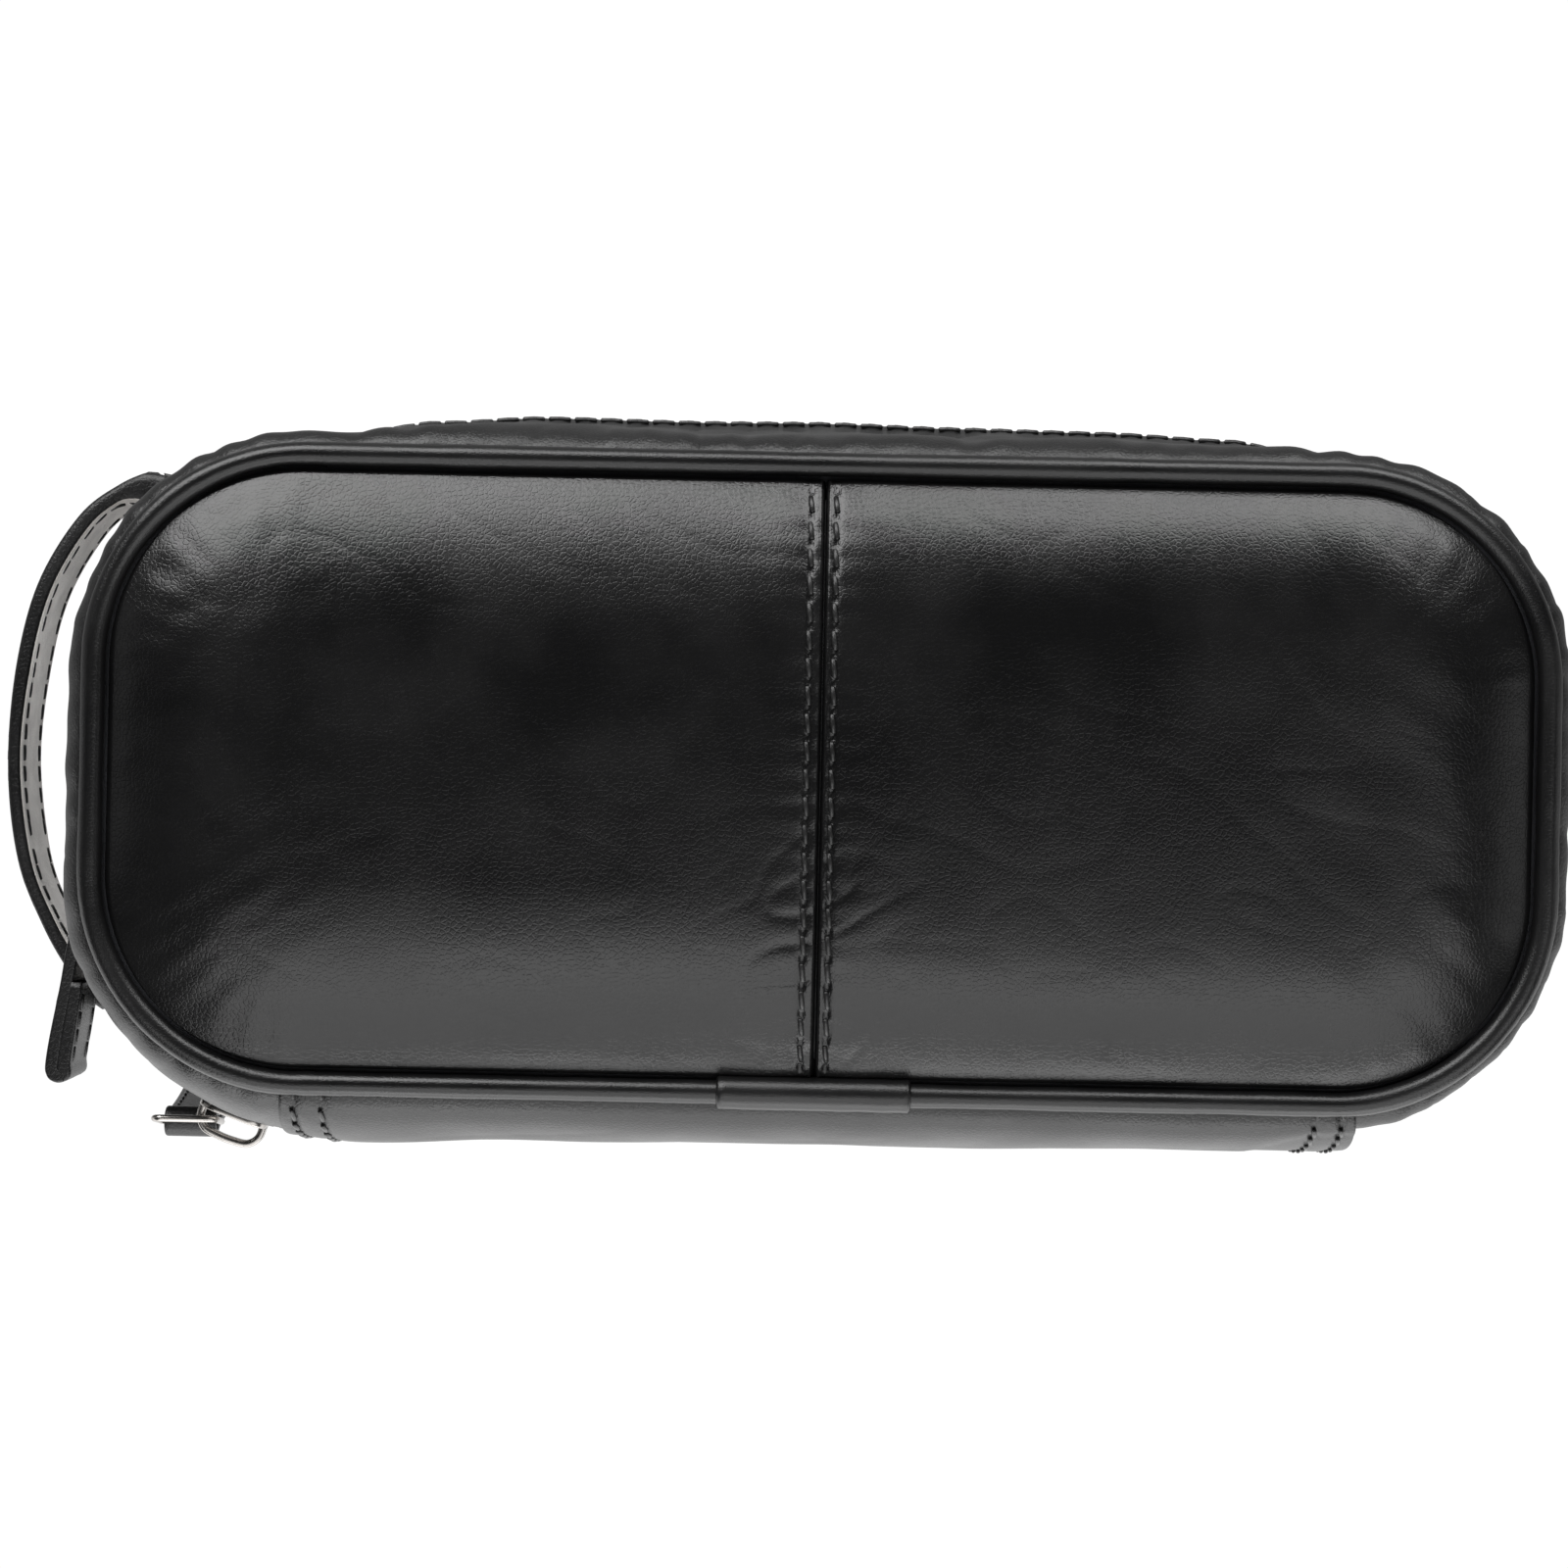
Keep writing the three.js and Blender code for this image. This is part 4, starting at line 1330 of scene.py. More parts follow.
@dataclass(frozen=True)
class ZipTrack:
    """One half of the zip: its tape, and the coil of teeth sewn to it."""

    form: BagForm
    side: Side
    tape_r: float = 0.0450
    tape_half: float = 0.0003
    tooth_pitch: float = 0.0014
    tooth_r: float = 0.0464
    wire: float = 0.00034
    reach: float = 0.0011
    park_deg: float = 30.0

    def tape(self) -> bmesh.types.BMesh:
        """Makes the woven tape."""
        low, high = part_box(f"{self.side.body}_zip_tape")
        start, end = (low.z, high.z) if self.side is Side.LID else (high.z, low.z)
        line = [Vector((self.tape_r, start + (end - start) * k / 6)) for k in range(7)]
        section = thickened(line, lambda share: self.tape_half, rounding=2)
        bm = self.form.ring(section, 3 * MM, self.form.core_x - 6 * MM)
        bm = emboss(bm, lambda at: Wrinkles(0.02, 0.1 * MM, 3.3).at(self.form.locate(at)[0], at.z))
        return self.form.settled(bm)

    def teeth(self) -> bmesh.types.BMesh:
        """Winds the coil: one hooked tooth every pitch, from the hinge round to the slider's park."""
        sign = self.side.value
        tooth = bmesh.new()
        bow = 0.55 * MM
        ring = bmesh.ops.create_circle(
            tooth, segments=6, radius=self.wire, matrix=Matrix.Translation((0, bow, 0))
        )["verts"]
        spun = bmesh.ops.spin(
            tooth, geom=[*ring, *{e for v in ring for e in v.link_edges}], cent=(0, 0, 0), axis=(1, 0, 0),
            angle=-sign * math.pi, steps=5, use_duplicate=False,
        )["geom_last"]
        for loop in ({e for v in ring for e in v.link_edges if e.is_boundary},
                     {e for e in spun if isinstance(e, bmesh.types.BMEdge)}):
            made = bmesh.ops.extrude_edge_only(tooth, edges=list(loop))["geom"]
            tail = [v for v in made if isinstance(v, bmesh.types.BMVert)]
            bmesh.ops.translate(tooth, verts=tail, vec=UP * sign * self.reach)
        bmesh.ops.holes_fill(tooth, edges=[e for e in tooth.edges if e.is_boundary], sides=0)
        bmesh.ops.recalc_face_normals(tooth, faces=tooth.faces)
        offset = 0.5 if self.side is Side.LID else 0.0
        end = self.form.perimeter - self.form.core_x - math.radians(self.park_deg) * self.form.bulge_r
        first = self.form.core_x + 3 * MM
        frames = []
        for k in range(int((end - first) / self.tooth_pitch)):
            s = first + (k + offset) * self.tooth_pitch
            core, out = self.form.walk(s)
            at = core + out * self.tooth_r + UP * (self.form.zip_z + sign * 0.15 * MM)
            frames.append(axes(Vector((-out.y, out.x, 0)), -out, UP, at))
        return self.form.settled(stamped(tooth, frames))

    def core_cord(self) -> bmesh.types.BMesh:
        """Makes the filler cord that runs inside the coil."""
        z = self.form.zip_z + self.side.value * 1.25 * MM
        turn = 2 * math.pi / 10
        section = [Vector((self.tooth_r + 0.55 * MM * math.cos(k * turn), z + 0.7 * MM * math.sin(k * turn)))
                   for k in range(10)]
        return self.form.settled(self.form.ring(section, 3 * MM, self.form.core_x))

    def build(self, bench: Bench) -> None:
        """Makes the tape, the teeth and the cord inside them."""
        word = self.side.body
        bench.piece(f"{word}_tape_weave", self.tape(), TAPE, word, [f"{word}_zip_tape"])
        bench.piece(f"{word}_coil_teeth", self.teeth(), COIL, word, [f"{word}_zip_coil"])
        bench.piece(f"{word}_coil_cord", self.core_cord(), TAPE, word)


@dataclass(frozen=True)
class SliderSet:
    """The zip slider with its bridge, the wire loop through it and the leather pull on the loop."""

    form: BagForm
    rest_deg: float = 20.0
    length: float = 0.013
    width: float = 0.010
    plate: float = 0.0012
    outer_face: float = 0.04761
    inner_face: float = 0.04381
    bridge_height: float = 0.0050
    bridge_length: float = 0.0130
    bridge_width: float = 0.0024
    bridge_wire: float = 0.0014
    loop_length: float = 0.0126
    loop_height: float = 0.0106
    loop_wire: float = 0.0013
    loop_drop: float = 0.0022
    tilt_deg: float = 8.0
    pull_width: float = 0.0096
    pull_layer: float = 0.0016
    pull_length: float = 0.0298
    thread: Thread = Thread(pitch=0.0027, length=0.0021, width=0.0006)

    def slider_frame(self) -> Matrix:
        """The slider's own frame: x along the zip, y inward, z up, from the corner's centre."""
        corner = self.form.centre + Vector((-self.form.core_x, -self.form.core_y, self.form.zip_z))
        return Matrix.Translation(corner) @ Matrix.Rotation(-math.radians(self.rest_deg), 4, "Z")

    def loop_frame(self) -> Matrix:
        """The frame of the loop's pivot in the bridge's window."""
        window = self.outer_face + self.plate + (self.bridge_height - self.bridge_wire) / 2
        at = self.slider_frame() @ Vector((-self.bridge_length * 0.2, -window, 0))
        return Matrix.Translation(at) @ Matrix.Rotation(-math.radians(self.tilt_deg), 4, "X")

    def pull_frame(self) -> Matrix:
        """The frame of the pull's pivot on the loop's lower bar."""
        bar = Vector((-self.loop_length / 2 + self.loop_wire / 2, 0,
                      -self.loop_drop - self.loop_height / 2 + self.loop_wire / 2))
        hang = Matrix.Rotation(math.radians(2 * self.tilt_deg), 4, "X")
        return self.loop_frame() @ Matrix.Translation(bar) @ hang

    def body(self) -> bmesh.types.BMesh:
        """Makes the two plates, their turned-in rims and the post between them."""
        bm = bmesh.new()
        post = Vector((self.length / 2 - 1.2 * MM, -(self.outer_face + self.inner_face) / 2, 0))
        plate = (self.length, self.plate, self.width)
        plates = (
            (Vector((0, -self.outer_face - self.plate / 2, 0)), plate, 3.4 * MM),
            (Vector((0, -self.inner_face + self.plate / 2, 0)), plate, 3.4 * MM),
            (post, (2.4 * MM, self.outer_face - self.inner_face + 0.4 * MM, 0.8 * MM), 0.0),
        )
        for at, size, corner in plates:
            self.add(bm, placed(self.rounded_block(size, corner), Matrix.Translation(at)))
        for way in (-1, 1):
            rim = self.rounded_block((self.length * 0.62, 1.3 * MM, 0.9 * MM), 0.0)
            at = Vector((-0.6 * MM, -self.outer_face + 0.5 * MM, way * (self.width / 2 - 0.45 * MM)))
            self.add(bm, placed(rim, Matrix.Translation(at)))
        return placed(bm, self.slider_frame())

    @staticmethod
    def add(bm: bmesh.types.BMesh, other: bmesh.types.BMesh) -> None:
        """Adds another mesh to this one and frees it."""
        spare = bpy.data.meshes.new("spare")
        other.to_mesh(spare)
        other.free()
        bm.from_mesh(spare)
        bpy.data.meshes.remove(spare)

    @staticmethod
    def rounded_block(size: tuple[float, float, float], corner: float) -> bmesh.types.BMesh:
        """Makes a block with rounded edges.

        Args:
            size: Its sides along x, y and z.
            corner: The radius of the four corners seen along y, or 0.

        Returns:
            The block, centred on the origin.
        """
        bm = bmesh.new()
        bmesh.ops.create_cube(bm, size=1, matrix=Matrix.Diagonal((*size, 1)))
        if corner:
            upright = [e for e in bm.edges if abs((e.verts[0].co - e.verts[1].co).normalized().y) > 0.9]
            bmesh.ops.bevel(
                bm, geom=upright, offset=corner, segments=8, profile=0.5, affect="EDGES", material=-1
            )
        sharp = [e for e in bm.edges if e.calc_face_angle() > math.radians(60)]
        bmesh.ops.bevel(
            bm, geom=sharp, offset=min(size) * 0.28, segments=3, profile=0.5, affect="EDGES", material=-1
        )
        return bm

    def bridge(self) -> bmesh.types.BMesh:
        """Makes the arch that the loop hangs from."""
        half, rise = self.bridge_length / 2 - self.bridge_wire / 2, self.bridge_height - self.bridge_wire / 2
        foot = -self.outer_face - self.plate + 0.3 * MM
        shoulder = foot - 0.3 * MM - rise
        points = [
            Vector((-half, foot, 0)), Vector((-half * 0.98, foot - rise * 0.55, 0)),
            Vector((-half * 0.72, shoulder + 0.45 * MM, 0)), Vector((-half * 0.25, shoulder, 0)),
            Vector((half * 0.25, shoulder, 0)), Vector((half * 0.72, shoulder + 0.45 * MM, 0)),
            Vector((half * 0.98, foot - rise * 0.55, 0)), Vector((half, foot, 0)),
        ]
        section = rounded_box(self.bridge_wire / 2, self.bridge_width / 2, self.bridge_wire * 0.38)
        return placed(follow(spline(points, 5), section, UP), self.slider_frame())

    def loop(self) -> bmesh.types.BMesh:
        """Bends the wire loop."""
        wire = self.loop_wire / 2
        half_x, half_z, corner = self.loop_length / 2 - wire, self.loop_height / 2 - wire, 2.2 * MM - wire
        turn = 2 * math.pi / 12
        start = [Vector((half_x + wire * math.cos(k * turn), wire * math.sin(k * turn), -half_z + corner))
                 for k in range(12)]
        sweep = Sweep(start)
        legs = (
            (Vector((0, 0, 2 * (half_z - corner))), (half_x - corner, half_z - corner)),
            (Vector((-2 * (half_x - corner), 0, 0)), (-half_x + corner, half_z - corner)),
            (Vector((0, 0, -2 * (half_z - corner))), (-half_x + corner, -half_z + corner)),
            (Vector((2 * (half_x - corner), 0, 0)), (half_x - corner, -half_z + corner)),
        )
        for offset, (x, z) in legs:
            sweep.run(offset, 3)
            sweep.turn(Vector((x, 0, z)), Vector((0, -1, 0)), QUARTER, 8)
        hung = Matrix.Translation(Vector((-self.loop_length / 2 + wire, 0, -self.loop_drop)))
        return placed(sweep.closed(), self.loop_frame() @ hung)

    def lean(self, z: float) -> float:
        """How far the pull bends aside at a height on it, counted from its pivot."""
        swing = ramp(-z, 3 * MM, self.pull_length)
        return 1.1 * MM * swing * swing

    def pull(self) -> bmesh.types.BMesh:
        """Folds the leather pull over the loop's lower bar."""
        layer = self.pull_layer
        leaf, bend, foot = layer * 0.53, 2.0 * MM, self.pull_length
        arc = [Vector((0, bend * math.cos(a), bend * math.sin(a)))
               for a in (math.radians(-35 + 250 * k / 14) for k in range(15))]
        points = [
            Vector((0, leaf, -foot)), Vector((0, leaf, -foot * 0.66)), Vector((0, leaf, -foot * 0.36)),
            Vector((0, leaf * 1.15, -bend * 2.2)), *arc, Vector((0, -leaf * 1.15, -bend * 2.2)),
            Vector((0, -leaf, -foot * 0.36)), Vector((0, -leaf, -foot * 0.66)), Vector((0, -leaf, -foot)),
        ]
        section = rounded_box(layer / 2, self.pull_width / 2, layer * 0.32, side_steps=8)
        bm = follow(spline(points, 5), section, Vector((1, 0, 0)))
        for v in bm.verts:
            down = -v.co.z - (foot - self.pull_width * 0.45)
            if down > 0:
                v.co.x *= 1 - 0.42 * (down / (self.pull_width * 0.45)) ** 2
            v.co.y += self.lean(v.co.z)
        return placed(bm, self.pull_frame())

    def pull_stitches(self) -> bmesh.types.BMesh:
        """Sews the pull's two layers together along both edges."""
        places = []
        turned = self.pull_frame()
        straight = turned.to_3x3()
        for face in (-1, 1):
            for way in (-1, 1):
                for k in range(8):
                    z = -6.5 * MM - k * self.thread.pitch
                    y = face * (self.pull_layer * 1.03) + self.lean(z)
                    at = turned @ Vector((way * (self.pull_width / 2 - 1.3 * MM), y, z))
                    places.append((at, straight @ UP, straight @ Vector((0, face, 0))))
        return self.thread.row(places)

    def build(self, bench: Bench) -> None:
        """Makes the slider, the loop and the pull."""
        bench.piece("slider_plates", self.body(), NICKEL, "slider", ["slider_body"])
        bench.piece("slider_arch", self.bridge(), NICKEL, "slider", ["slider_bridge"])
        bench.piece("wire_loop", self.loop(), NICKEL, "pull_loop", ["pull_loop"])
        bench.piece("pull_strip", self.pull(), TRIM, "leather_pull", ["leather_pull"])
        bench.piece("pull_stitches", self.pull_stitches(), THREAD, "leather_pull")


# ---------------------------------------------------------------- strap and tab


@dataclass(frozen=True)
class EndGear:
    """The hand strap that arches off the left end, and the folded grab tab beside it."""

    form: BagForm
    reach: float = 0.0169
    thickness: float = 0.0030
    width: float = 0.020
    bottom: float = 0.005
    tab_layer: float = 0.0023
    tab_width: float = 0.018
    tab_bottom: float = 0.0296
    tab_length: float = 0.030
    tab_fold: float = 0.016
    thread: Thread = Thread(pitch=0.0040, length=0.0031, width=0.0008)

    def beside(self, side: int, deg: float, stand: float) -> Vector:
        """A point off the left end, deg round from -X at the upper (1) or lower (-1) corner."""
        angle = math.radians(deg)
        r = self.form.bulge_r + stand
        return self.form.centre + Vector((
            -self.form.core_x - r * math.cos(angle), side * (self.form.core_y + r * math.sin(angle)), 0,
        ))

    @property
    def tab_root(self) -> Vector:
        """The place on the side wall that the tab hangs from."""
        return self.beside(-1, 12, self.tab_layer / 2 + 1.0 * MM)

    def strap_path(self) -> list[Vector]:
        """The strap's middle line, from its upper sewn end round to its lower one."""
        top = self.reach - self.thickness / 2
        sewn = self.form.fit + self.thickness / 2
        return spline([
            self.beside(1, 61, sewn), self.beside(1, 54, sewn + 0.3 * MM), self.beside(1, 45, top * 0.3),
            self.beside(1, 38, top * 0.49), self.beside(1, 29, top * 0.67), self.beside(1, 15, top * 0.8),
            self.beside(1, 0, top * 0.91),
            self.form.centre + Vector((-self.form.core_x - self.form.bulge_r - top, 0, 0)),
            self.beside(-1, 0, top * 0.85), self.beside(-1, 12, top * 0.62), self.beside(-1, 22, top * 0.46),
            self.beside(-1, 30, top * 0.34), self.beside(-1, 37, sewn + 0.2 * MM),
            self.beside(-1, 43.5, sewn),
        ], 9)

    def strap(self) -> bmesh.types.BMesh:
        """Makes the strap, grained outside and suede inside."""
        half = self.width / 2
        section = rounded_box(self.thickness / 2, half, self.thickness * 0.36, corner_steps=4, side_steps=14)
        path = [p + UP * (self.bottom + half) for p in self.strap_path()]
        bm = follow(path, section, UP)
        bm.normal_update()
        middle = self.form.centre + Vector((-self.form.core_x * 0.8, 0, 0))
        for face in bm.faces:
            inward = middle - face.calc_center_median()
            inward.z = 0
            if face.normal.dot(inward.normalized()) > 0.6:
                face.material_index = 1

        def waves(at: Vector) -> float:
            """Slight unevenness, and a dip along each row of stitches."""
            edge = min(at.z - self.bottom, self.bottom + self.width - at.z)
            wave = 0.25 * MM * noise.noise(Vector((at.y * 45, at.z * 20, 2.0)))
            return wave - 0.22 * MM * near(edge - 3 * MM, 0.9 * MM)

        return self.hugging(emboss(bm, waves))

    def hugging(self, bm: bmesh.types.BMesh) -> bmesh.types.BMesh:
        """Lays the parts that come close to the body on its side wall, and returns the mesh."""
        for v in bm.verts:
            s, r = self.form.locate(v.co)
            sewn = 1 - ramp(r - self.form.bulge_r, self.thickness + 0.6 * MM, self.thickness + 4 * MM)
            if sewn > 0:
                _, out = self.form.walk(s)
                v.co -= out * sewn * self.form.hollow(s, v.co.z)
        return bm

    def strap_stitches(self) -> bmesh.types.BMesh:
        """Sews both faces of the strap along both edges."""
        path = self.strap_path()
        places = []
        gone = 0.0
        for a, b in zip(path, path[1:]):
            gone += (b - a).length
            if gone < self.thread.pitch:
                continue
            gone -= self.thread.pitch
            along = (b - a).normalized()
            for way in (-1, 1):
                out = UP.cross(along) * way
                for z in (self.bottom + 3 * MM, self.bottom + self.width - 3 * MM):
                    at = b + out * (self.thickness / 2 - 0.1 * MM) + UP * z
                    places.append((at, along, out))
        return self.hugging(self.thread.row(places))

    def tab(self) -> bmesh.types.BMesh:
        """Folds the tab: it hangs from the side wall, turns at its end and is sewn back to itself."""
        root, layer, end = self.tab_root, self.tab_layer, self.tab_length - self.tab_layer
        outer = [Vector((1.9 * layer, 3 * MM, 0)), Vector((0.9 * layer, -end * 0.14, 0)),
                 Vector((0.35 * layer, -end * 0.4, 0)), Vector((-0.3 * layer, -end * 0.7, 0)),
                 Vector((-0.75 * layer, -end * 0.96, 0))]
        turn = [Vector((-0.22 * layer + 0.53 * layer * math.cos(a), -end + 0.53 * layer * math.sin(a), 0))
                for a in (math.pi + k * math.pi / 6 for k in range(1, 6))]
        back = [Vector((0.2 * layer, -end * 0.94, 0)), Vector((0.6 * layer, -end * 0.72, 0)),
                Vector((1.1 * layer, -end + self.tab_fold, 0))]
        half = self.tab_width / 2
        section = rounded_box(layer / 2, half, layer * 0.15, corner_steps=3, side_steps=8)
        path = [root + p + UP * (self.tab_bottom + half) for p in spline([*outer, *turn, *back], 6)]
        bm = follow(path, section, UP)
        return emboss(bm, lambda at: 0.16 * MM * noise.noise(at * 90))

    def tab_stitches(self) -> bmesh.types.BMesh:
        """Sews the folded end of the tab."""
        places = []
        for z in (self.tab_bottom + 2.6 * MM, self.tab_bottom + self.tab_width - 2.6 * MM):
            for k in range(4):
                y = -self.tab_length + 5 * MM + k * self.thread.pitch * 0.8
                lean = (0.66 - 0.21 * k) * self.tab_layer
                for x, way in ((-lean - 0.47 * self.tab_layer, -1), (1.42 * self.tab_layer - lean, 1)):
                    at = self.tab_root + Vector((x, y, z))
                    places.append((at, Vector((0.15, 1, 0)), Vector((way, 0, 0))))
        return self.thread.row(places)

    def build(self, bench: Bench) -> None:
        """Makes the strap and the tab."""
        sewn = Vector((-0.1235, 0, 0))
        free = Vector((-0.134, 0, 0))
        bend = Bend("base", "hand_strap", sewn, free)
        strap_nodes = ["hand_strap", "strap_anchor_upper", "strap_anchor_lower"]
        bench.piece("strap_leather", self.strap(), (STRAP, SUEDE), bend, strap_nodes)
        bench.piece("strap_stitches", self.strap_stitches(), THREAD, bend)
        bench.piece("tab_leather", self.tab(), TRIM, "grab_tab", ["grab_tab"])
        bench.piece("tab_stitches", self.tab_stitches(), THREAD, "grab_tab")


# ---------------------------------------------------------------- inside


@dataclass(frozen=True)
class Interior:
    """The cloth lining of both halves, the strip behind the hinge, and the slip pocket."""

    form: BagForm
    cloth: float = 0.0008
    depth: float = 0.0027
    floor_r: float = 0.0325
    thread: Thread = Thread(pitch=0.0035, length=0.0027, width=0.0006)

    def wall(self, side: Side) -> bmesh.types.BMesh:
        """Makes the cloth of one half's side."""
        low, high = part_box(f"{side.body}_lining")
        end_z = high.z if side is Side.BASE else low.z
        line = self.form.side_line(side, end_z, self.depth)
        floor_z = self.floor_z(side)
        turn = [Vector((self.floor_r, floor_z)), Vector((self.floor_r + 1.6 * MM, floor_z))]
        kept = [p for p in line if side.value * (floor_z - p.y) > 0.8 * MM and p.x > self.floor_r + 3 * MM]
        bm = self.form.ring(thickened([*turn, *kept], lambda share: self.cloth / 2, rounding=2), 2.4 * MM)

        def slack(at: Vector) -> float:
            """The cloth's soft folds, drawn flat where it is sewn."""
            s, _ = self.form.locate(at)
            up = abs(at.z - floor_z)
            loose = ramp(up, 1 * MM, 8 * MM) * ramp(abs(at.z - end_z), 0, 6 * MM)
            return -abs(Wrinkles(0.018, 0.7 * MM, 1.0, turn=1.2, stretch=2.4).at(s, at.z)) * 0.2 * loose

        return self.form.settled(emboss(bm, slack))

    def woven(self, bm: bmesh.types.BMesh) -> bmesh.types.BMesh:
        """Gives a sheet the thickness of the cloth and returns it."""
        bmesh.ops.recalc_face_normals(bm, faces=bm.faces)
        bmesh.ops.solidify(bm, geom=list(bm.faces), thickness=self.cloth)
        return bm

    def floor_z(self, side: Side) -> float:
        """The height of the flat part of one half's lining."""
        if side is Side.LID:
            return self.form.front_z - 1.6 * MM
        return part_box("base_lining")[0].z + self.cloth / 2

    def floor(self, side: Side) -> bmesh.types.BMesh:
        """Makes the cloth behind a panel."""
        form, radius = self.form, self.floor_r
        half_x, half_y = form.core_x + radius, form.core_y + radius
        bm = bmesh.new()
        bmesh.ops.create_grid(bm, x_segments=170, y_segments=70, size=1)
        z = self.floor_z(side)
        for v in bm.verts:
            x, y = form.rounded(v.co.x * half_x, v.co.y * half_y, radius)
            reach = math.hypot(*form.beyond(x, y)) / radius
            soft = abs(Wrinkles(0.03, 0.7 * MM, 6.0, stretch=2.0).at(x, y)) * (1 - ramp(reach, 0.8, 1.0))
            v.co = form.centre + Vector((x, y, z - side.value * soft))
        return self.woven(bm)

    def hinge_strip(self) -> bmesh.types.BMesh:
        """Makes the strip of cloth that covers the hinge piece inside."""
        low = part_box("base_lining")[1].z - 2 * MM
        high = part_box("lid_lining")[0].z + 2 * MM
        y = self.form.centre.y - self.form.core_y - self.form.bulge_r + 3.1 * MM
        line = [Vector((y, low + (high - low) * k / 24)) for k in range(25)]
        section = thickened(line, lambda share: self.cloth / 2, rounding=2)
        half = self.form.core_x
        sweep = Sweep([Vector((self.form.centre.x - half, p.x, p.y)) for p in section])
        sweep.run(Vector((2 * half, 0, 0)), 60)
        return self.form.settled(sweep.capped())

    def pocket(self) -> bmesh.types.BMesh:
        """Makes the slip pocket, slack in the middle and rounded at its lower corners."""
        low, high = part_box("inner_pocket")
        size = high - low
        bm = bmesh.new()
        bmesh.ops.create_grid(bm, x_segments=90, y_segments=36, size=1)
        corner = 8 * MM
        for v in bm.verts:
            u, w = v.co.x, v.co.y
            y = (w + 1) / 2 * size.y
            lost = corner - math.sqrt(max(0, corner ** 2 - max(corner - y, 0) ** 2))
            x = u * (size.x / 2 - lost)
            slack = (1 - u ** 4) * ramp(w, -1, 0.4)
            wave = 0.5 * MM * noise.noise(Vector((x * 60, y * 40, 3.0))) * slack
            v.co = Vector(((low.x + high.x) / 2 + x, low.y + y, low.z + 0.5 * MM + 2.2 * MM * slack + wave))
        return self.woven(bm)

    def binding(self) -> bmesh.types.BMesh:
        """Makes the leather binding along the pocket's mouth."""
        low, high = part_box("pocket_binding")
        y = (low.y + high.y) / 2 - 0.6 * MM
        half = (high.x - low.x) / 2
        points = []
        for k in range(25):
            u = -1 + k / 12
            lift = 2.2 * MM * (1 - u ** 4)
            points.append(Vector(((low.x + high.x) / 2 + u * half, y, low.z + 0.7 * MM + lift)))
        section = rounded_box(0.8 * MM, 1.6 * MM, 0.6 * MM)
        return follow(points, section, Vector((0, 1, 0)))

    def pocket_stitches(self) -> bmesh.types.BMesh:
        """Sews the pocket down on three sides."""
        low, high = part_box("inner_pocket")
        inset, z = 1.6 * MM, low.z + 1.05 * MM
        corners = [Vector((low.x + inset, high.y - inset, z)), Vector((low.x + inset, low.y + 8 * MM, z)),
                   Vector((low.x + 8 * MM, low.y + inset, z)), Vector((high.x - 8 * MM, low.y + inset, z)),
                   Vector((high.x - inset, low.y + 8 * MM, z)), Vector((high.x - inset, high.y - inset, z))]
        places = []
        for a, b in zip(corners, corners[1:]):
            count = max(1, round((b - a).length / self.thread.pitch))
            places += [(a.lerp(b, (k + 0.5) / count), b - a, UP) for k in range(count)]
        return self.thread.row(places)

    def build(self, bench: Bench) -> None:
        """Makes the lining and the pocket, and dresses the board hidden behind it."""
        for side in Side:
            word = side.body
            bench.piece(f"{word}_lining_wall", self.wall(side), LINING, word, [f"{word}_lining"])
            bench.piece(f"{word}_lining_floor", self.floor(side), LINING, word)
        bench.piece("hinge_lining", self.hinge_strip(), LINING, across_hinge(self.form, 8 * MM))
        bench.piece("pocket_cloth", self.pocket(), LINING, "base", ["inner_pocket"])
        bench.piece("pocket_edge", self.binding(), TRIM, "base", ["pocket_binding"])
        bench.piece("pocket_stitches", self.pocket_stitches(), THREAD, "base")
        bench.dress_node("back_board", BOARD)


# ---------------------------------------------------------------- studio


@dataclass(frozen=True)
class SoftBox:
    """One rectangular studio light, aimed at the bag."""

    name: str
    at: tuple[float, float, float]
    size: tuple[float, float]
    power: float

    def hang(self, target: Vector) -> None:
        """Adds the light to the scene."""
        light = bpy.data.lights.new(self.name, "AREA")
        light.shape = "RECTANGLE"
        light.size, light.size_y = self.size
        light.energy = self.power
        made = in_scene(self.name, light)
        made.location = self.at
        made.rotation_euler = (target - Vector(self.at)).to_track_quat("-Z", "Y").to_euler()


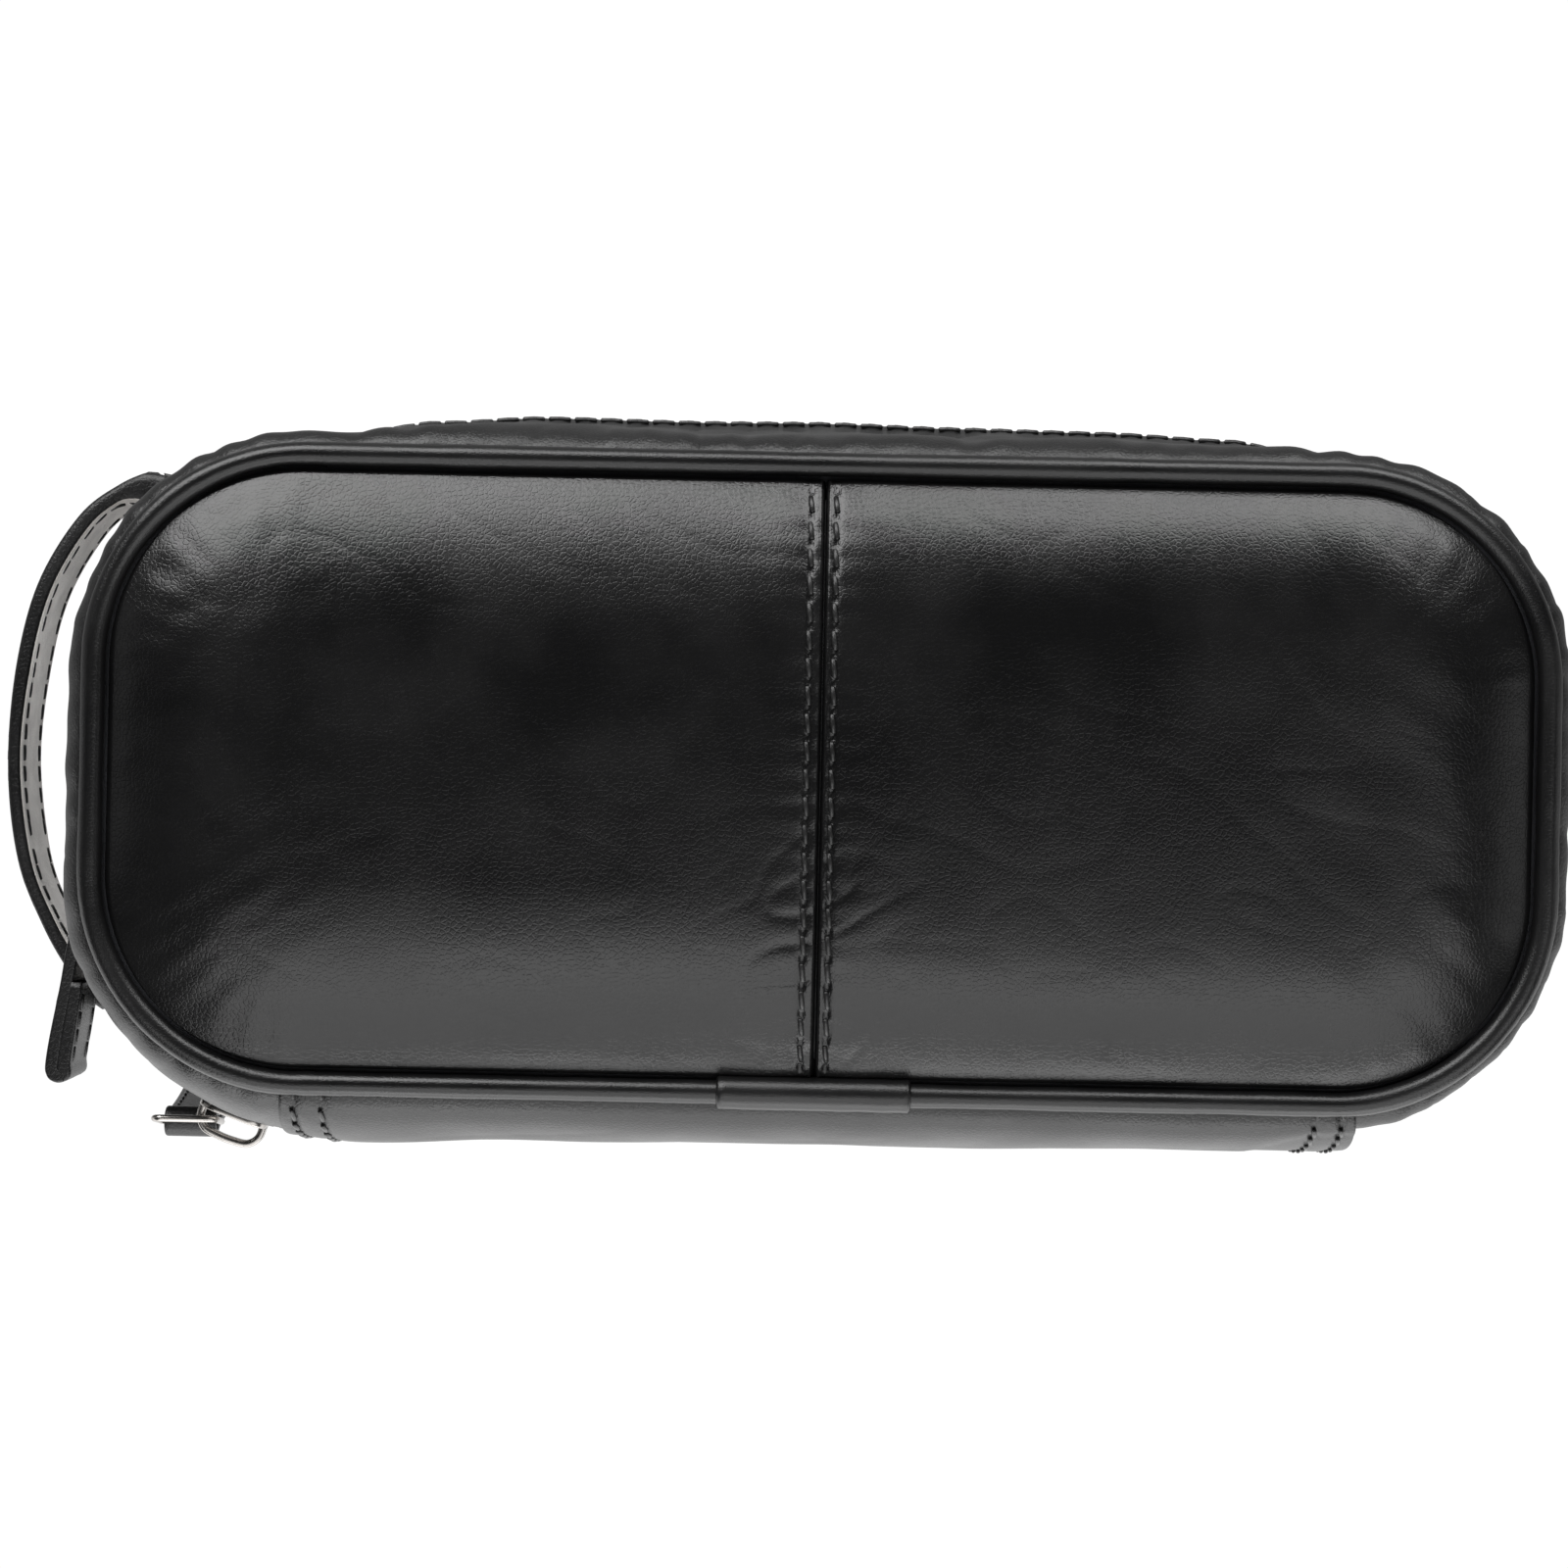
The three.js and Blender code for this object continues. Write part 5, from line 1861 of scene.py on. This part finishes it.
@dataclass(frozen=True)
class Studio:
    """A lit white table, soft boxes round it and a camera looking straight down."""

    camera_at: tuple[float, float, float] = (0.0016, 0.0008, 0.742)
    lens: float = 87.0
    roll_deg: float = 1.2
    glow: tuple[float, float] = (1.9, 0.35)
    table_white: float = 1.05
    fill: float = 0.022
    backdrop: float = 0.95
    boxes: tuple[SoftBox, ...] = (
        SoftBox("far_left_box", (-0.42, 0.76, 0.57), (0.8, 0.6), 10.0),
        SoftBox("far_right_box", (0.38, 0.90, 0.50), (0.8, 0.55), 7.5),
        SoftBox("near_box", (0.10, -0.58, 0.78), (1.4, 0.6), 4.6),
        SoftBox("near_high_box", (0.10, -0.32, 0.95), (1.4, 0.42), 1.3),
        SoftBox("low_box", (0.05, -1.15, 0.33), (1.6, 0.6), 12.0),
        SoftBox("left_box", (-1.2, 0.1, 0.25), (0.4, 1.0), 0.4),
        SoftBox("right_box", (1.2, -0.1, 0.25), (0.4, 1.0), 0.8),
    )

    def camera(self) -> None:
        """Places the camera."""
        data = bpy.data.cameras.new("camera")
        data.lens = self.lens
        data.clip_start, data.clip_end = 0.01, 20
        made = in_scene("camera", data)
        made.location = self.camera_at
        made.rotation_euler = (0, 0, math.radians(self.roll_deg))
        bpy.context.scene.camera = made

    def floor(self) -> None:
        """Lays the table: even white to the camera, and to the bag brighter in front than behind."""
        bm = bmesh.new()
        bmesh.ops.create_grid(bm, x_segments=1, y_segments=1, size=3)
        mesh = bpy.data.meshes.new("table")
        bm.to_mesh(mesh)
        bm.free()
        material = bpy.data.materials.new("table_white")
        material.use_nodes = True
        graph = Graph(material.node_tree)
        place = graph.node("SeparateXYZ", {"Vector": graph.node("TexCoord").outputs["Object"]})
        front, behind = self.glow
        cast = graph.node(
            "MapRange",
            {
                "Value": place.outputs["Y"], "From Min": -0.16, "From Max": 0.0,
                "To Min": front, "To Max": behind,
            },
        ).outputs[0]
        seen = graph.node("LightPath").outputs["Is Camera Ray"]
        shade = graph.node("MapRange", {"Value": seen, "To Min": cast, "To Max": self.table_white}).outputs[0]
        shader = graph.node("Emission", {"Color": shade, "Strength": 1.0})
        graph.node("OutputMaterial", {"Surface": shader.outputs[0]})
        mesh.materials.append(material)
        in_scene("table", mesh)

    def world(self) -> None:
        """Fills in with a dim even light, and shows a pale backdrop behind."""
        world = bpy.data.worlds.new("studio")
        world.use_nodes = True
        graph = Graph(world.node_tree)
        seen = graph.node("LightPath").outputs["Is Camera Ray"]
        strength = graph.node(
            "MapRange", {"Value": seen, "To Min": self.fill, "To Max": self.backdrop}
        ).outputs[0]
        shader = graph.node("Background", {"Color": (1, 1, 1, 1), "Strength": strength})
        graph.node("OutputWorld", {"Surface": shader.outputs[0]})
        bpy.context.scene.world = world
        bpy.context.scene.view_settings.view_transform = "Standard"

    def build(self, target: Vector) -> None:
        """Sets up the camera, table and lights."""
        self.camera()
        self.floor()
        self.world()
        for box in self.boxes:
            box.hang(target)


def main() -> None:
    """Builds the bag from its form outward."""
    logging.basicConfig(level=logging.INFO, format="%(message)s")
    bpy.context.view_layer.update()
    form = BagForm.from_frame()
    for build_group in (grain_group, tone_group, weave_group):
        build_group()
    bench = Bench()
    Studio().build(form.centre + UP * form.zip_z)
    Panel(form, Side.LID, crown=8.0 * MM, spacing=0.62 * MM).build(bench)
    Panel(form, Side.BASE, crown=0.9 * MM, spacing=1.0 * MM).build(bench)
    for side in Side:
        Piping(form, side).build(bench)
        Gusset(form, side).build(bench)
        ZipTrack(form, side).build(bench)
    Spine(form).build(bench)
    SliderSet(form).build(bench)
    EndGear(form).build(bench)
    Interior(form).build(bench)


if __name__ == "__main__":
    main()
